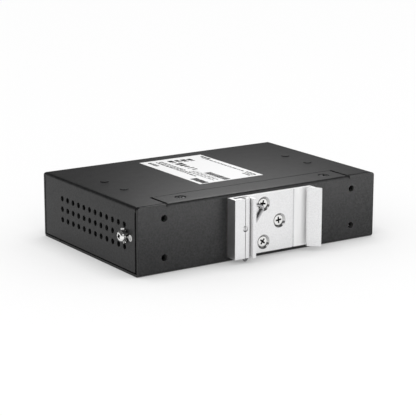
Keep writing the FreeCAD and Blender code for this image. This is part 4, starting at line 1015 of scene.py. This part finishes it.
# Stage: a white floor that keeps the object's shadow, with a painted contact shadow in its glow, and a
# white surround that is dimmer overhead.
# Three soft lamps light the object, two strips put a gloss on its coat, and the camera sees it.
FLOOR_SIZE = 4.0
FLOOR_DROP = 0.02 * MM
FLOOR_WHITE = (0.96, 0.96, 0.96, 1)
FLOOR_GLOW = 0.45
GLOW_WHITE = (1, 1, 1, 1)
CONTACT_REACH = 14 * MM
CONTACT_CLOSE = 0.4
CONTACT_SHADE = 0.52
SKY_LIGHT = 1.0
SKY_WHITE = -0.05
SKY_DIM = 0.19
SKY_CEILING = 0.1
CAMERA_PLACE = Vector((-373.336, -563.238, 181.067)) * MM
CAMERA_AZIMUTH = 33.508
CAMERA_ELEVATION = 14.0075
CAMERA_ROLL = 0.09
CAMERA_LENS = 137.91
SENSOR = 36.0


def seen_directly(tree):
    """One for rays from the camera, from a gloss or through glass, and nought for the light itself."""
    path = add_node(tree, "ShaderNodeLightPath")
    seen = path.outputs["Is Camera Ray"]
    for ray in ("Is Glossy Ray", "Is Transmission Ray"):
        most = add_node(tree, "ShaderNodeMath", {0: seen, 1: path.outputs[ray]}, operation="MAXIMUM")
        seen = most.outputs[0]
    return seen


def white_floor():
    made = bpy.data.materials.new("white_floor")
    made.use_nodes = True
    tree = made.node_tree
    tree.nodes.clear()
    share = add_node(tree, "ShaderNodeMath", {0: seen_directly(tree), 1: FLOOR_GLOW}, operation="MULTIPLY")
    lit = add_node(tree, "ShaderNodeBsdfDiffuse", {"Color": FLOOR_WHITE})
    # Painted contact shadow: the floor's glow is dimmed by ambient occlusion near the object.
    near = add_node(tree, "ShaderNodeAmbientOcclusion", {"Distance": CONTACT_REACH})
    painted_contact_shadow = add_node(tree, "ShaderNodeMapRange", {
        "Value": near.outputs["AO"], "From Min": CONTACT_CLOSE, "To Min": CONTACT_SHADE})
    glow = add_node(tree, "ShaderNodeEmission", {"Color": GLOW_WHITE, "Strength": painted_contact_shadow.outputs["Result"]})
    both = add_node(tree, "ShaderNodeMixShader", {
        "Fac": share.outputs[0], 1: lit.outputs[0], 2: glow.outputs[0]})
    add_node(tree, "ShaderNodeOutputMaterial", {"Surface": both.outputs[0]})
    return made


floor_mesh = bpy.data.meshes.new("floor")
half = FLOOR_SIZE / 2
floor_mesh.from_pydata([(a * half, b * half, 0) for a, b in CORNERS], [], [(0, 1, 2, 3)])
floor_mesh.materials.append(white_floor())
floor = link_piece("floor", floor_mesh)
floor.location.z = cad_box[0].z - FLOOR_DROP

world = bpy.data.worlds.new("studio")
bpy.context.scene.world = world
world.use_nodes = True
sky = world.node_tree
sky.nodes.clear()
toward = add_node(sky, "ShaderNodeTexCoord").outputs["Generated"]
height = add_node(sky, "ShaderNodeSeparateXYZ", {"Vector": toward}).outputs["Z"]
surround = add_node(sky, "ShaderNodeMapRange", {
    "Value": height, "From Min": SKY_WHITE, "From Max": SKY_DIM, "To Min": 1.0, "To Max": SKY_CEILING})
surround.interpolation_type = "SMOOTHSTEP"
strength = add_node(sky, "ShaderNodeMapRange", {
    "Value": seen_directly(sky), "To Min": SKY_LIGHT, "To Max": surround.outputs["Result"]})
back = add_node(sky, "ShaderNodeBackground", {"Color": GLOW_WHITE, "Strength": strength.outputs["Result"]})
add_node(sky, "ShaderNodeOutputWorld", {"Surface": back.outputs[0]})


def soft_lamp(name, place, target, wide, tall, power):
    """An area lamp of rounded outline by its place and the spot that it faces."""
    lamp_data = bpy.data.lights.new(name, "AREA")
    lamp_data.shape = "ELLIPSE"
    lamp_data.size = wide
    lamp_data.size_y = tall
    lamp_data.energy = power
    lamp = bpy.data.objects.new(name, lamp_data)
    bpy.context.scene.collection.objects.link(lamp)
    lamp.location = place
    lamp.rotation_euler = (Vector(target) - lamp.location).to_track_quat("-Z", "Y").to_euler()
    return lamp


soft_lamp("key_softbox", place=(-0.3, -0.9, 0.6), target=(0, 0, 0.01), wide=0.56, tall=0.56, power=1.0)
soft_lamp("fill_softbox", place=(0.7, -0.3, 0.7), target=(0, 0, 0.01), wide=0.68, tall=0.68, power=0.2)
rear = soft_lamp("rear_softbox", place=(0.112, 0.127, 0.172), target=(0, -0.034, 0.0287),
                 wide=0.127, tall=0.061, power=0.17)
rear.visible_diffuse = False

# Two strips before the back panel give only their gloss, and only to the coated sheets
coated_sheets = bpy.data.collections.new("coated_sheets")
for piece in (chassis, cover):
    coated_sheets.objects.link(piece)
low_strip = soft_lamp("low_strip", place=(0.04, -0.1, 0.012), target=(0.04, 0, 0.012),
                      wide=0.26, tall=0.01, power=0.052)
bend_strip = soft_lamp("bend_strip", place=(0.107, -0.19, 0.098), target=(0, -0.039, 0.028),
                       wide=0.3, tall=0.14, power=0.27)
for strip in (low_strip, bend_strip):
    strip.visible_camera = False
    strip.visible_diffuse = False
    strip.light_linking.receiver_collection = coated_sheets

camera_data = bpy.data.cameras.new("camera")
camera_data.lens = CAMERA_LENS
camera_data.sensor_width = SENSOR
camera_data.clip_start = 0.01
camera = bpy.data.objects.new("camera", camera_data)
bpy.context.scene.collection.objects.link(camera)
camera.matrix_world = (Matrix.Translation(CAMERA_PLACE)
                       @ Matrix.Rotation(math.radians(-CAMERA_AZIMUTH), 4, "Z")
                       @ Matrix.Rotation(math.radians(90 - CAMERA_ELEVATION), 4, "X")
                       @ Matrix.Rotation(math.radians(CAMERA_ROLL), 4, "Z"))
bpy.context.scene.camera = camera
bpy.context.scene.view_settings.view_transform = "Standard"

bpy.context.view_layer.update()
